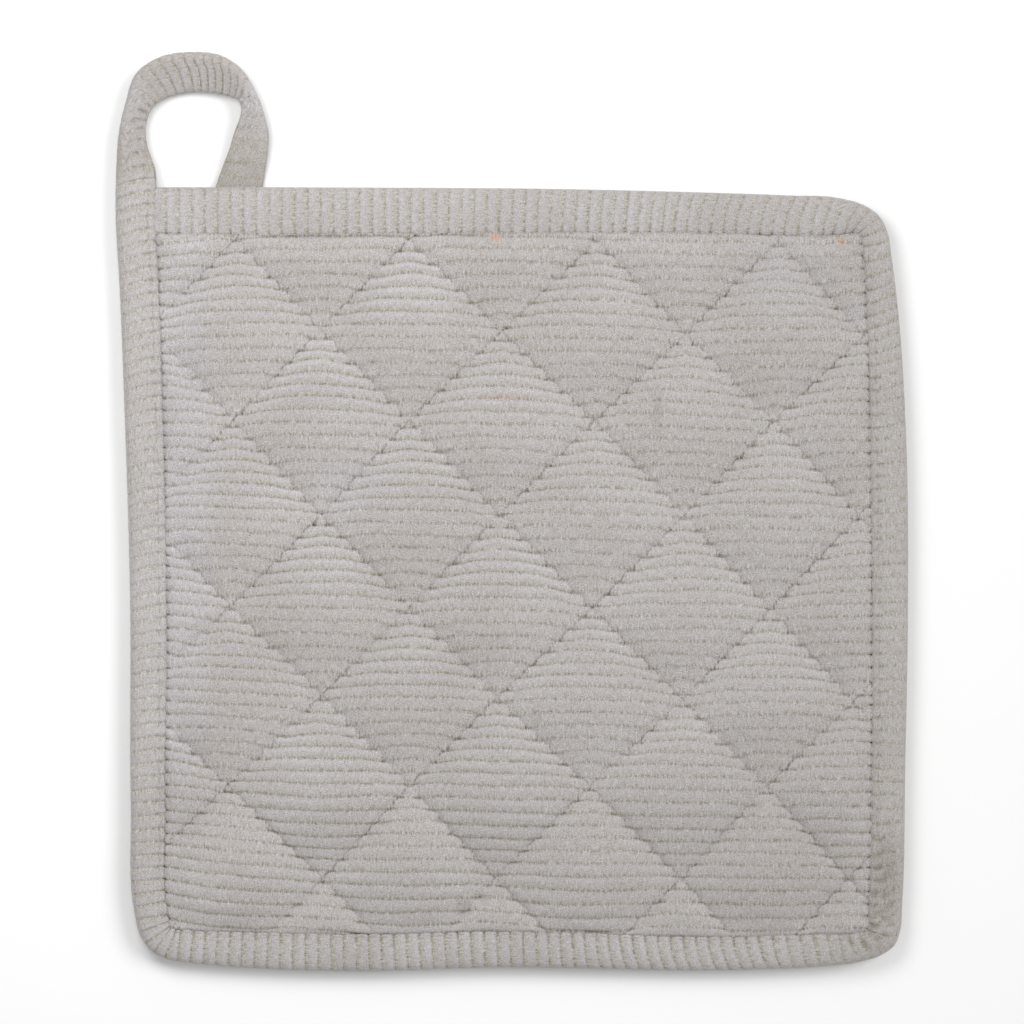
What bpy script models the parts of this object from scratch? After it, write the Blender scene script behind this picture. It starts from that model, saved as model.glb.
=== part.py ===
"""A square quilted pot holder of wide corduroy, lying flat on its back with its face up.

Three pieces, as they are cut and sewn:
  quilted_pad    front cloth, filling and back cloth quilted into one body, in diamonds
  edge_binding   one folded strip round all four sides, which grips the pad's edge
  hanging_loop   the same strip running on from the left side, its end tucked behind the top

Units are metres and +Z is up. The origin is on the surface below the middle of the outline,
loop included. +Y points to the edge with the loop and +X to the right of the face.
The tables of places are in millimetres and are turned into metres where they are read.
"""

import math
from typing import NamedTuple

import bpy
import numpy as np
from mathutils import Vector
from mathutils.geometry import delaunay_2d_cdt

MM = 0.001


class EdgeKnot(NamedTuple):
    """A place on the outer edge, and the binding's width there, in millimetres."""

    x: float
    y: float
    width: float


class BindingLine(NamedTuple):
    """A line of the binding's section: where it lies, and what moves it."""

    share: float  # how far in from the outer edge, as a part of the binding's width
    inset: float  # and so much further
    height: float
    cord_up: float  # how much of a cord's relief raises it
    cord_out: float  # and how much pushes it outwards
    lifts: bool  # whether it rises over the tucked end


class QuiltColumn(NamedTuple):
    """Where a column of stitch crossings lies at the top and bottom rows, in millimetres."""

    x_at_top: float
    x_at_bottom: float


class QuiltRow(NamedTuple):
    """Where a row of stitch crossings lies at the left and right sides, in millimetres."""

    y_at_left: float
    y_at_right: float


class LoopSection(NamedTuple):
    """Both edges of the loop's strip seen from above, the height of each edge's middle and
    the strip's thickness, in millimetres."""

    outer_x: float
    outer_y: float
    inner_x: float
    inner_y: float
    outer_z: float
    inner_z: float
    thick: float


# ---- driving dimensions -------------------------------------------------------------------

GAP = 0.3 * MM  # room between pieces that are sewn together
WALE_PITCH = 3.175 * MM  # eight cords of pile to the inch

# The binding: a C-shaped section whose legs lie above and below the pad's edge.
BINDING_CROWN = 7.0 * MM
BINDING_SHOULDER = 6.2 * MM
BINDING_FOLD_TOP = 6.1 * MM
BINDING_OUTERMOST = 3.8 * MM
BINDING_LEG = 1.6 * MM
SLOT_CEILING = 5.4 * MM
BINDING_WALL = 2.2 * MM
BINDING_FOOT = 0.9 * MM
BINDING_FOLD_ROUND = 0.6 * MM
BINDING_WALE = 0.7 * MM  # a cord of the binding, from its valley to its crest
BINDING_LINES = (
    BindingLine(1.00, 0, BINDING_FOLD_TOP, 0, 0, False),
    BindingLine(0.62, 0, BINDING_CROWN, 1.0, 0, False),
    BindingLine(0.18, 0, BINDING_SHOULDER, 0.7, 0.5, False),
    BindingLine(0.00, 0, BINDING_OUTERMOST, 0, 0.6, False),
    BindingLine(0.00, BINDING_FOOT, 0, 0, 0, True),
    BindingLine(1.00, -BINDING_FOLD_ROUND, 0, 0, 0, True),
    BindingLine(1.00, 0, BINDING_LEG, 0, 0, True),
    BindingLine(0.00, BINDING_WALL, BINDING_LEG, 0, 0, True),
    BindingLine(0.00, BINDING_WALL, SLOT_CEILING, 0, 0, False),
    BindingLine(1.00, 0, SLOT_CEILING, 0, 0, False),
)

# The pad, held between the binding's legs at its edge and free to puff up inside it.
PAD_INSET = BINDING_WALL + 3 * GAP
PAD_EDGE_FLOOR = BINDING_LEG + GAP
PAD_SEWN = SLOT_CEILING - GAP  # its face where a seam holds it down
PAD_CROWN = 8.5 * MM  # its face at the middle of a diamond
PAD_WALE = 0.8 * MM  # a cord of the pad's face, from its valley to its crest
PAD_FACE_RAMP = 5.0 * MM  # how far in from the binding the diamonds reach their full height
PAD_WALE_RAMP = 2.5 * MM
PAD_BACK_RAMP = 8.0 * MM  # how far in from the binding the back comes down to the surface
QUILT_FULLNESS = 0.65  # 1 gives sine waves, less gives rounder diamonds with tighter seams

# The strip's end is flattened and tucked behind the top binding, which bridges it.
TUCK_LIFT = 2.1 * MM
TUCK_LEFT = -83.0 * MM
TUCK_RIGHT = -57.5 * MM
TUCK_DEPTH = 12.5 * MM
TUCK_BLEND = 7.0 * MM
TUCK_SPREAD = 4.0 * MM  # the pad's back rises over a wider stretch than the binding's leg

LOOP_WALE = 0.5 * MM
LOOP_PRESSED = 1.2 * MM  # below this half thickness the strip's cords are pressed flat
LOOP_ROUND_STEPS = 4  # faces round each of the strip's two folded edges

# The outer edge, clockwise from the top left.
EDGE_KNOTS = (
    EdgeKnot(-90.0, 82.9, 12.0),  # top side, beginning beside the left strip
    EdgeKnot(-61.2, 82.9, 12.3),
    EdgeKnot(-28.6, 82.8, 11.9),
    EdgeKnot(9.7, 82.5, 11.4),
    EdgeKnot(47.9, 81.6, 10.6),
    EdgeKnot(70.9, 80.8, 10.3),
    EdgeKnot(83.1, 80.2, 10.1),  # right-hand top corner
    EdgeKnot(89.8, 78.3, 9.0),
    EdgeKnot(93.7, 75.5, 7.8),
    EdgeKnot(95.8, 71.4, 7.4),
    EdgeKnot(96.9, 65.0, 7.4),  # right side
    EdgeKnot(98.6, 51.0, 8.3),
    EdgeKnot(100.6, 20.0, 9.4),
    EdgeKnot(101.1, -25.0, 9.4),
    EdgeKnot(100.4, -65.0, 8.8),
    EdgeKnot(99.6, -100.2, 8.8),  # right-hand bottom corner
    EdgeKnot(99.1, -106.8, 8.7),
    EdgeKnot(97.6, -110.6, 8.2),
    EdgeKnot(94.4, -113.0, 7.6),
    EdgeKnot(88.2, -114.9, 7.8),
    EdgeKnot(78.5, -116.0, 8.5),  # bottom side
    EdgeKnot(60.7, -116.8, 8.7),
    EdgeKnot(-5.6, -116.3, 9.4),
    EdgeKnot(-41.3, -117.2, 9.6),
    EdgeKnot(-66.8, -116.4, 9.4),
    EdgeKnot(-82.1, -115.1, 8.6),  # left-hand bottom corner
    EdgeKnot(-88.2, -114.1, 8.2),
    EdgeKnot(-92.3, -111.8, 8.0),
    EdgeKnot(-95.0, -107.9, 8.2),
    EdgeKnot(-96.4, -102.0, 8.5),  # left side
    EdgeKnot(-97.3, -75.0, 9.0),
    EdgeKnot(-97.5, -22.4, 9.5),
    EdgeKnot(-99.1, 31.1, 10.0),
    EdgeKnot(-100.2, 57.9, 10.2),
    EdgeKnot(-101.2, 76.0, 10.2),
    EdgeKnot(-101.2, 82.9, 10.2),
)

# The quilting: diamonds between columns and rows of stitch crossings, every other one used.
QUILT_TOP = 69.4 * MM
QUILT_BOTTOM = -93.8 * MM
QUILT_LEFT = -88.5 * MM
QUILT_RIGHT = 90.0 * MM
QUILT_COLUMNS = (
    QuiltColumn(-70.4, -72.9),
    QuiltColumn(-49.0, -48.2),
    QuiltColumn(-26.3, -26.0),
    QuiltColumn(-2.3, -4.3),
    QuiltColumn(21.7, 19.4),
    QuiltColumn(44.4, 43.2),
    QuiltColumn(67.8, 64.5),
    QuiltColumn(90.5, 85.7),
)
QUILT_ROWS = (
    QuiltRow(69.4, 68.6),
    QuiltRow(46.9, 44.6),
    QuiltRow(23.2, 22.9),
    QuiltRow(-0.8, -1.3),
    QuiltRow(-24.2, -25.2),
    QuiltRow(-46.4, -48.7),
    QuiltRow(-69.9, -70.4),
    QuiltRow(-93.8, -93.6),
)

# The left side is drawn in by its seam, which pulls the cords towards mid height there.
DRAW_AT_TOP = -2.0 * MM
DRAW_AT_BOTTOM = 3.8 * MM
DRAW_REACH = 22.0 * MM
CORD_BOW = 1.4 * MM  # how far the cords bow outwards over a diamond
BOW_PROBE = 4.0 * MM

# The loop, from the left strip's top to the tucked end.
LOOP_SECTIONS = (
    LoopSection(-101.2, 83.2, -91.0, 83.2, 3.6, 3.5, 6.2),
    LoopSection(-100.9, 88.5, -92.1, 88.2, 4.2, 3.0, 4.8),
    LoopSection(-100.7, 93.3, -93.3, 93.1, 5.2, 2.5, 3.7),
    LoopSection(-100.0, 98.7, -93.8, 97.9, 6.4, 2.1, 3.3),
    LoopSection(-98.7, 104.0, -93.1, 101.2, 6.6, 2.0, 3.2),
    LoopSection(-95.6, 112.2, -90.3, 104.8, 5.6, 2.0, 3.2),
    LoopSection(-90.3, 115.8, -86.7, 106.7, 4.8, 2.0, 3.2),
    LoopSection(-81.6, 117.3, -80.8, 107.7, 4.4, 2.0, 3.2),
    LoopSection(-74.0, 116.3, -75.2, 107.2, 4.8, 2.0, 3.2),
    LoopSection(-69.1, 113.0, -71.1, 106.2, 5.8, 1.9, 3.2),
    LoopSection(-65.8, 108.1, -69.4, 104.9, 6.8, 1.9, 3.1),
    LoopSection(-63.2, 101.5, -69.2, 101.4, 6.0, 1.8, 3.0),
    LoopSection(-62.1, 96.4, -70.9, 97.0, 3.6, 1.9, 2.9),
    LoopSection(-62.4, 91.3, -72.3, 92.6, 2.2, 1.8, 2.6),
    LoopSection(-63.5, 85.0, -74.8, 86.2, 1.0, 1.0, 1.7),
    LoopSection(-64.1, 81.5, -75.9, 82.7, 0.9, 0.9, 1.6),
    LoopSection(-65.4, 75.2, -77.0, 76.2, 0.9, 0.9, 1.6),
)

PAD_COLOUR = (0.462, 0.434, 0.418)
BINDING_COLOUR = (0.500, 0.468, 0.446)
LOOP_COLOUR = (0.465, 0.434, 0.412)
CLOTH_ROUGHNESS = 0.9

# How finely the shapes are drawn.
KNOT_STEPS = 16  # points of a smooth curve between two rows of its table
COARSE_EVERY = 4  # the binding's smooth lines have a point at every fourth half cord
OUTLINE_STEP = 4.0 * MM
SEAM_LINE_STEP = 3.2 * MM
BACK_STEP = 6.0 * MM
CROWN_STEP = 7.2 * MM  # widest spacing of the points along a cord of the pad
TIGHT_STEP = 1.0 * MM  # and the closest
PROBE_STEP = 0.4 * MM
SEAM_LINE_MARGIN = 0.9 * MM  # how far the cords' lines end short of the binding's seam
SHARP_ANGLE = math.radians(35)


# ---- curves -------------------------------------------------------------------------------


def smooth_through(rows):
    """Returns closely set rows on a smooth curve through a table's rows, in metres, and how
    far along the curve each lies. The first two columns are the curve's place."""
    rows = np.asarray(rows, float) * MM
    span = np.linalg.norm(np.diff(rows[:, :2], axis=0), axis=1)[:, None]
    slope = np.diff(rows, axis=0) / span
    before = np.vstack([span[:1], span])
    after = np.vstack([span, span[-1:]])
    arriving = np.vstack([slope[:1], slope])
    leaving = np.vstack([slope, slope[-1:]])
    tangent = (after * arriving + before * leaving) / (before + after)
    t = np.linspace(0, 1, KNOT_STEPS, endpoint=False)[:, None]
    stretches = [
        (2 * t**3 - 3 * t**2 + 1) * rows[i]
        + (t**3 - 2 * t**2 + t) * span[i] * tangent[i]
        + (3 * t**2 - 2 * t**3) * rows[i + 1]
        + (t**3 - t**2) * span[i] * tangent[i + 1]
        for i in range(len(span))
    ]
    fine = np.vstack(stretches + [rows[-1:]])
    along = np.linalg.norm(np.diff(fine[:, :2], axis=0), axis=1).cumsum()
    return fine, np.concatenate([[0], along])


def read_at(fine, along, distances):
    """Returns the rows of a curve at these distances along it."""
    return np.column_stack([np.interp(distances, along, column) for column in fine.T])


def smooth_step(t):
    """Rises from 0 at 0 to 1 at 1, level at both ends."""
    t = np.clip(t, 0, 1)
    return t * t * (3 - 2 * t)


class OuterEdge:
    """The pot holder's outer edge, with the binding's width and the inward direction."""

    def __init__(self):
        self.fine, self.along = smooth_through(EDGE_KNOTS)
        run = np.gradient(self.fine[:, :2], axis=0)
        run /= np.linalg.norm(run, axis=1)[:, None]
        inward = np.column_stack([run[:, 1], -run[:, 0]])
        self.rows = np.column_stack([self.fine, inward])
        self.length = self.along[-1]

    def at(self, distances):
        """Returns x, y, width, inward_x and inward_y at these distances along the edge."""
        rows = read_at(self.rows, self.along, distances)
        rows[:, 3:] /= np.linalg.norm(rows[:, 3:], axis=1)[:, None]
        return rows

    def inside(self, points):
        """Returns how far inside the binding's inner edge each point lies."""
        apart = np.linalg.norm(points[:, None] - self.fine[None, :, :2], axis=2)
        nearest = apart.argmin(axis=1)
        return apart[np.arange(len(points)), nearest] - self.fine[nearest, 2]

    def ring(self, past_width, past_edge, step):
        """Returns a closed line inside the edge: past_width times the binding's width plus
        past_edge in from it, squared off at the corner where the loop begins."""
        count = round(self.length / step)
        rows = self.at(np.linspace(0, self.length, count))
        inset = past_width * rows[:, 2] + past_edge
        line = rows[:, :2] + rows[:, 3:] * inset[:, None]
        apart = np.linalg.norm(line[:, None] - self.fine[None, :, :2], axis=2).min(axis=1)
        line = line[apart > inset - GAP]
        line = np.column_stack(
            [np.maximum(line[:, 0], line[-1, 0]), np.minimum(line[:, 1], line[0, 1])]
        )
        kept = [line[0]]
        for point in line[1:]:
            if min(np.linalg.norm(point - kept[-1]), np.linalg.norm(point - line[0])) > step / 3:
                kept.append(point)
        return np.array(kept)


def tuck_lift(points, spread=0):
    """Returns how far the top binding's lower leg rises to pass over the strip's end."""
    x, y = points[:, 0], points[:, 1]
    sideways = smooth_step((x - TUCK_LEFT + spread) / TUCK_BLEND + 1)
    sideways *= smooth_step((TUCK_RIGHT + spread - x) / TUCK_BLEND + 1)
    top = EDGE_KNOTS[0].y * MM
    return TUCK_LIFT * sideways * smooth_step((y - top + TUCK_DEPTH) / TUCK_BLEND + 1)


# ---- quilting -----------------------------------------------------------------------------


def with_neighbours(table):
    """Returns a table in metres with one more row at either end, at the same spacing."""
    rows = np.asarray(table, float) * MM
    return np.vstack([2 * rows[:1] - rows[1:2], rows, 2 * rows[-1:] - rows[-2:-1]])


def lattice(x, y):
    """Returns each point's place in the quilting: its column and row of stitch crossings."""
    columns = with_neighbours(QUILT_COLUMNS)
    rows = with_neighbours(QUILT_ROWS)
    number = np.arange(len(columns)) - 1.0
    down = (QUILT_TOP - y) / (QUILT_TOP - QUILT_BOTTOM)
    across = (x - QUILT_LEFT) / (QUILT_RIGHT - QUILT_LEFT)
    column = (1 - down) * np.interp(x, columns[:, 0], number)
    column += down * np.interp(x, columns[:, 1], number)
    row = (1 - across) * np.interp(-y, -rows[:, 0], number)
    row += across * np.interp(-y, -rows[:, 1], number)
    return column, row


def across_seams(x, y):
    """Returns two counts that are whole numbers on the seams of each slant."""
    column, row = lattice(x, y)
    return (column + row) / 2, (column - row) / 2


def puff(x, y):
    """Returns 0 on the quilting seams, rising to 1 at the middle of a diamond."""
    falling, rising = across_seams(x, y)
    waves = np.abs(np.sin(math.pi * falling) * np.sin(math.pi * rising))
    return waves**QUILT_FULLNESS


def cord_path(x, level):
    """Returns y along a cord of the pad's face that would lie level at this height."""
    down = (QUILT_TOP - level) / (QUILT_TOP - QUILT_BOTTOM)
    pull = DRAW_AT_TOP + (DRAW_AT_BOTTOM - DRAW_AT_TOP) * down
    y = level + pull * np.exp(-(x - QUILT_LEFT) / DRAW_REACH)
    return y - CORD_BOW * (puff(x, y + BOW_PROBE) ** 2 - puff(x, y - BOW_PROBE) ** 2)


def pad_face_height(points, relief):
    """Returns the height of the pad's face. relief is +1 on a crest and -1 in a valley."""
    inside = OUTER.inside(points)
    rise = puff(points[:, 0], points[:, 1]) * smooth_step(inside / PAD_FACE_RAMP)
    fade = smooth_step(inside / PAD_WALE_RAMP)
    return PAD_SEWN + (PAD_CROWN - PAD_SEWN) * rise + relief * fade * PAD_WALE / 2


def pad_back_height(points):
    """Returns the height of the pad's underside, which comes down to the surface."""
    inside = OUTER.inside(points)
    settle = smooth_step((inside - GAP) / PAD_BACK_RAMP)
    return (PAD_EDGE_FLOOR + tuck_lift(points, TUCK_SPREAD)) * (1 - settle)


# ---- meshes -------------------------------------------------------------------------------


def make_object(name, points, faces, colour):
    """Adds an object of these points and faces, with its own cloth material."""
    mesh = bpy.data.meshes.new(name)
    mesh.from_pydata([tuple(point) for point in points], [], faces)
    mesh.shade_smooth()
    mesh.set_sharp_from_angle(angle=SHARP_ANGLE)
    piece = bpy.data.objects.new(name, mesh)
    bpy.context.scene.collection.objects.link(piece)
    cloth = bpy.data.materials.new(name + "_cloth")
    cloth.use_nodes = True
    shader = cloth.node_tree.nodes["Principled BSDF"]
    shader.inputs["Base Color"].default_value = (*colour, 1)
    shader.inputs["Roughness"].default_value = CLOTH_ROUGHNESS
    shader.inputs["Metallic"].default_value = 0
    mesh.materials.append(cloth)
    return piece


def triangulate(closed_lines, open_lines):
    """Returns points, triangles and the points' line labels for the area in the first closed
    line, with every line kept as edges. A label is the line's place in the two lists."""
    points, edges, labels = [], [], []
    for label, line in enumerate(list(closed_lines) + list(open_lines)):
        start = len(points)
        points += [Vector(point) for point in line]
        labels += [label] * len(line)
        edges += [(start + i, start + i + 1) for i in range(len(line) - 1)]
        if label < len(closed_lines):
            edges.append((start + len(line) - 1, start))
    flat, _, triangles, origins, _, _ = delaunay_2d_cdt(points, edges, [], 1, 1e-7)
    kept = [labels[origin[0]] if origin else -1 for origin in origins]
    return np.array(flat), triangles, np.array(kept)


def cord_points(level):
    """Returns the points of one crest or valley line of the pad's face, in stretches that
    lie clear of the binding, with a point wherever the line crosses a quilting seam."""
    x = np.arange(QUILT_LEFT - WALE_PITCH, QUILT_RIGHT + 2 * WALE_PITCH, PROBE_STEP)
    y = cord_path(x, level)
    clear = OUTER.inside(np.column_stack([x, y])) > GAP + SEAM_LINE_MARGIN
    counts = [np.floor(count) for count in across_seams(x, y)]
    crossing = (np.diff(counts[0]) != 0) | (np.diff(counts[1]) != 0)
    stretches = []
    edges = np.flatnonzero(np.diff(np.concatenate([[0], clear, [0]])))
    for first, past in zip(edges[::2], edges[1::2]):
        if past - first < 3:
            continue
        inner = [i for i in range(first + 1, past - 1) if crossing[i]]
        marks = [x[first]]
        for mark in [(x[i] + x[i + 1]) / 2 for i in inner] + [x[past - 1]]:
            if mark - marks[-1] > TIGHT_STEP:
                marks.append(mark)
        fill = [marks[0]]
        for start, stop in zip(marks, marks[1:]):
            pieces = max(1, round((stop - start) / CROWN_STEP))
            fill += [start + (stop - start) * (k + 1) / pieces for k in range(pieces)]
        stretches.append(np.column_stack([fill, np.interp(fill, x, y)]))
    return stretches


def quilted_pad():
    """The front cloth, filling and back cloth as one quilted body."""
    outline = OUTER.ring(0, PAD_INSET, OUTLINE_STEP)
    seam_line = OUTER.ring(1, GAP, SEAM_LINE_STEP)
    top = max(point[1] for point in seam_line) + WALE_PITCH
    bottom = min(point[1] for point in seam_line) - WALE_PITCH * 2
    lines, relief = [], [0, 0]
    for half in range(round(2 * (top - bottom) / WALE_PITCH)):
        for stretch in cord_points(top - half * WALE_PITCH / 2):
            lines.append(stretch)
            relief.append(1 if half % 2 else -1)
    flat, triangles, labels = triangulate([outline, seam_line], lines)
    face_z = pad_face_height(flat, np.array(relief + [0])[labels])
    face_z[labels < 2] = PAD_SEWN
    points = list(np.column_stack([flat, face_z]))
    faces = [tuple(triangle) for triangle in triangles]

    settling = [OUTER.ring(1, share * PAD_BACK_RAMP + GAP, BACK_STEP) for share in (0, 0.5, 1)]
    back, back_triangles, back_labels = triangulate([outline, *settling], [])
    back_z = pad_back_height(back)
    gripped = back_labels < 2
    back_z[gripped] = PAD_EDGE_FLOOR + tuck_lift(back[gripped], TUCK_SPREAD)
    back_z[back_labels == 3] = 0
    start = len(points)
    points += list(np.column_stack([back, back_z]))
    faces += [tuple(start + i for i in reversed(triangle)) for triangle in back_triangles]

    rim = [int(np.linalg.norm(flat - corner, axis=1).argmin()) for corner in outline]
    foot = [start + int(np.linalg.norm(back - corner, axis=1).argmin()) for corner in outline]
    for i in range(len(rim)):
        faces.append((rim[i - 1], rim[i], foot[i], foot[i - 1]))
    return make_object("quilted_pad", points, faces, PAD_COLOUR)


def lace(first, second):
    """Returns the triangles between two lines side by side, each a list of pairs of the
    distance along and the point's number. They face the side where first runs to the right
    of second."""
    triangles = []
    i = j = 0
    while i + 1 < len(first) or j + 1 < len(second):
        if j + 1 == len(second):
            on_first = True
        elif i + 1 == len(first):
            on_first = False
        else:
            on_first = first[i + 1][0] <= second[j + 1][0]
        if on_first:
            triangles.append((first[i][1], first[i + 1][1], second[j][1]))
            i += 1
        else:
            triangles.append((first[i][1], second[j + 1][1], second[j][1]))
            j += 1
    return triangles


def laced_sleeve(lines):
    """Returns points and faces of a closed body skinned round lines that run side by side.
    Each line is a list of pairs of the distance along and the point."""
    points, numbered = [], []
    for line in lines:
        numbered.append([(along, len(points) + i) for i, (along, _) in enumerate(line)])
        points += [point for _, point in line]
    faces = []
    for line, following in zip(numbered, numbered[1:] + numbered[:1]):
        faces += lace(line, following)
    faces.append(tuple(line[0][1] for line in numbered))
    faces.append(tuple(line[-1][1] for line in reversed(numbered)))
    return points, faces


def edge_binding():
    """The folded strip round all four sides, open towards the pad."""
    count = 2 * round(OUTER.length / WALE_PITCH) + 1
    stations = np.linspace(0, OUTER.length, count)
    relief = np.where(np.arange(count) % 2, 1, -1) * BINDING_WALE / 2
    edge = OUTER.at(stations)
    lines = []
    for line in BINDING_LINES:
        inset = line.share * edge[:, 2] + line.inset - line.cord_out * relief
        place = edge[:, :2] + edge[:, 3:] * inset[:, None]
        height = line.height + line.cord_up * relief
        if line.lifts:
            height = height + tuck_lift(place)
        corded = line.cord_up or line.cord_out
        kept = [i for i in range(count) if corded or i % COARSE_EVERY == 0 or i == count - 1]
        lines.append([(stations[i], (*place[i], height[i])) for i in kept])
    points, faces = laced_sleeve(lines)
    return make_object("edge_binding", points, faces, BINDING_COLOUR)


def hanging_loop():
    """The strip folded shut, running round from the left side to its tucked end."""
    fine, along = smooth_through(LOOP_SECTIONS)
    count = 2 * round(along[-1] / WALE_PITCH) + 1
    stations = np.linspace(0, along[-1], count)
    sections = read_at(fine, along, stations)
    outer = np.column_stack([sections[:, 0:2], sections[:, 4]])
    inner = np.column_stack([sections[:, 2:4], sections[:, 5]])
    radius = sections[:, 6:7] / 2
    level = outer - inner
    level[:, 2] = 0
    level /= np.linalg.norm(level, axis=1)[:, None]
    outer = outer - level * radius
    inner = inner + level * radius
    across = outer - inner
    across /= np.linalg.norm(across, axis=1)[:, None]
    run = np.gradient((outer + inner) / 2, axis=0)
    up = np.cross(run, across)
    up /= np.linalg.norm(up, axis=1)[:, None]
    relief = np.where(np.arange(count) % 2, 1, -1)[:, None] * LOOP_WALE / 2
    turns = np.linspace(math.pi / 2, -math.pi / 2, LOOP_ROUND_STEPS + 1)
    lines = []
    for middle, side in ((outer, 1), (inner, -1)):
        for turn in turns * side:
            reach = radius + relief * abs(math.sin(turn)) * (radius > LOOP_PRESSED)
            point = middle + side * across * radius * math.cos(turn) + up * reach * math.sin(turn)
            lines.append([(stations[i], tuple(point[i])) for i in range(count)])
    points, faces = laced_sleeve(lines)
    return make_object("hanging_loop", points, faces, LOOP_COLOUR)


# ---- scene --------------------------------------------------------------------------------

for old in list(bpy.data.objects):
    bpy.data.objects.remove(old, do_unlink=True)
OUTER = OuterEdge()
quilted_pad()
edge_binding()
hanging_loop()
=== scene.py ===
"""A square quilted pot holder of wide corduroy, lying flat on its back with its face up.

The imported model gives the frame, and each of its three nodes is replaced by cloth:
  quilted_pad_cloth     the front cloth, filling and back cloth, quilted in diamonds
  edge_binding_cloth    a strip folded in four round all four sides
  hanging_loop_cloth    the same strip running on as a loop, folded shut and tucked in
with the thread of the quilting, the binding's seam and the loop's seam.

Units are metres. +Z is up, +Y points to the edge with the loop, and the tables of places
are in millimetres. A cord is one raised rib of pile, and a valley lies between two cords.
"""

import logging
import math
from dataclasses import dataclass
from enum import Enum
from typing import NamedTuple, Sequence

import bpy
import numpy as np
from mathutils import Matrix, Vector
from mathutils.kdtree import KDTree

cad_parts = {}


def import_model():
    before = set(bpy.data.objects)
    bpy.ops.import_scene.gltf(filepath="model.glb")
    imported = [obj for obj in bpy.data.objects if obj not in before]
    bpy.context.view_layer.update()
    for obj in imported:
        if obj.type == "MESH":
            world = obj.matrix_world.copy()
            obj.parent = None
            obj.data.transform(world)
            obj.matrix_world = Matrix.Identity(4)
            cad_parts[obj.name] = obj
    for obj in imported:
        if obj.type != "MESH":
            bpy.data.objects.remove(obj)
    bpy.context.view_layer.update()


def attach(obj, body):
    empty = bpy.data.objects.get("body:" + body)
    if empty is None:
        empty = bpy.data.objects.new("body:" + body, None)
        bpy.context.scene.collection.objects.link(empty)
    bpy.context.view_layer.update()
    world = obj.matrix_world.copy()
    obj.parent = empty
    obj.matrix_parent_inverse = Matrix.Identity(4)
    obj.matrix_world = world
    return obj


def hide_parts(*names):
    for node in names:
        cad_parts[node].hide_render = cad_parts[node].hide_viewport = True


Array = np.ndarray
Colour = tuple[float, float, float]

MM = 0.001
LOG = logging.getLogger("pot_holder")


class EdgeKnot(NamedTuple):
    """A place on the outer edge, and the binding's width there, in millimetres."""

    x: float
    y: float
    width: float


class QuiltColumn(NamedTuple):
    """Where a column of stitch crossings lies at the top and bottom rows, in millimetres."""

    x_at_top: float
    x_at_bottom: float


class QuiltRow(NamedTuple):
    """Where a row of stitch crossings lies at the left and right sides, in millimetres."""

    y_at_left: float
    y_at_right: float


class LoopSection(NamedTuple):
    """Both edges of the loop's strip seen from above, their heights, and its thickness."""

    outer_x: float
    outer_y: float
    inner_x: float
    inner_y: float
    outer_z: float
    inner_z: float
    thick: float


class FoldRow(NamedTuple):
    """A line of the folded strip: on the binding at share of the width plus inset and at a
    height, in millimetres, and on the loop with inset and height in half thicknesses."""

    share: float
    inset: float
    height: float
    loop_share: float
    loop_inset: float
    loop_height: float
    corded: float  # how much of a cord's relief shows here


class StripPlace(NamedTuple):
    """How the binding's cords look at a distance along the edge, in millimetres."""

    along: float
    relief: float  # height of a cord, 1 being a full one
    crisp: float  # how dark and narrow the valleys are
    lean: float  # how far a cord's inner end lies on along the edge, per unit of width
    stitch_inset: float  # from the inner fold to the seam's stitches
    shade: float = 0  # painted shade: how much darker the pile looks
    crumple: float = 0  # how uneven the cloth lies towards the inner fold, in millimetres


class Spot(NamedTuple):
    """A mark, painted light or painted shade: its place and half sizes in millimetres, strength,
    colour.
    """

    x: float
    y: float
    half_x: float
    half_y: float
    strength: float
    colour: Colour  # 0 to 255, as on a screen


# ---- driving dimensions -------------------------------------------------------------------

CORD_PITCH = 3.18 * MM
FIRST_VALLEY = 67.5 * MM  # height of a valley of the pad's face
CORD_PHASES = (0.0, 0.08, 0.26, 0.50, 0.74, 0.92)
CORD_PROFILE = (-1.0, 0.30, 0.84, 1.0, 0.84, 0.30)  # -1 in a valley, 1 on a crest

TUCK_LIFT = 2.1 * MM  # how far the cloth rises over the loop's tucked end
TUCK_FOOT = 63.4  # y at which it begins to rise, in millimetres
TUCK_SLOPE = 7.0  # how wide the slope is, in millimetres

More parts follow.
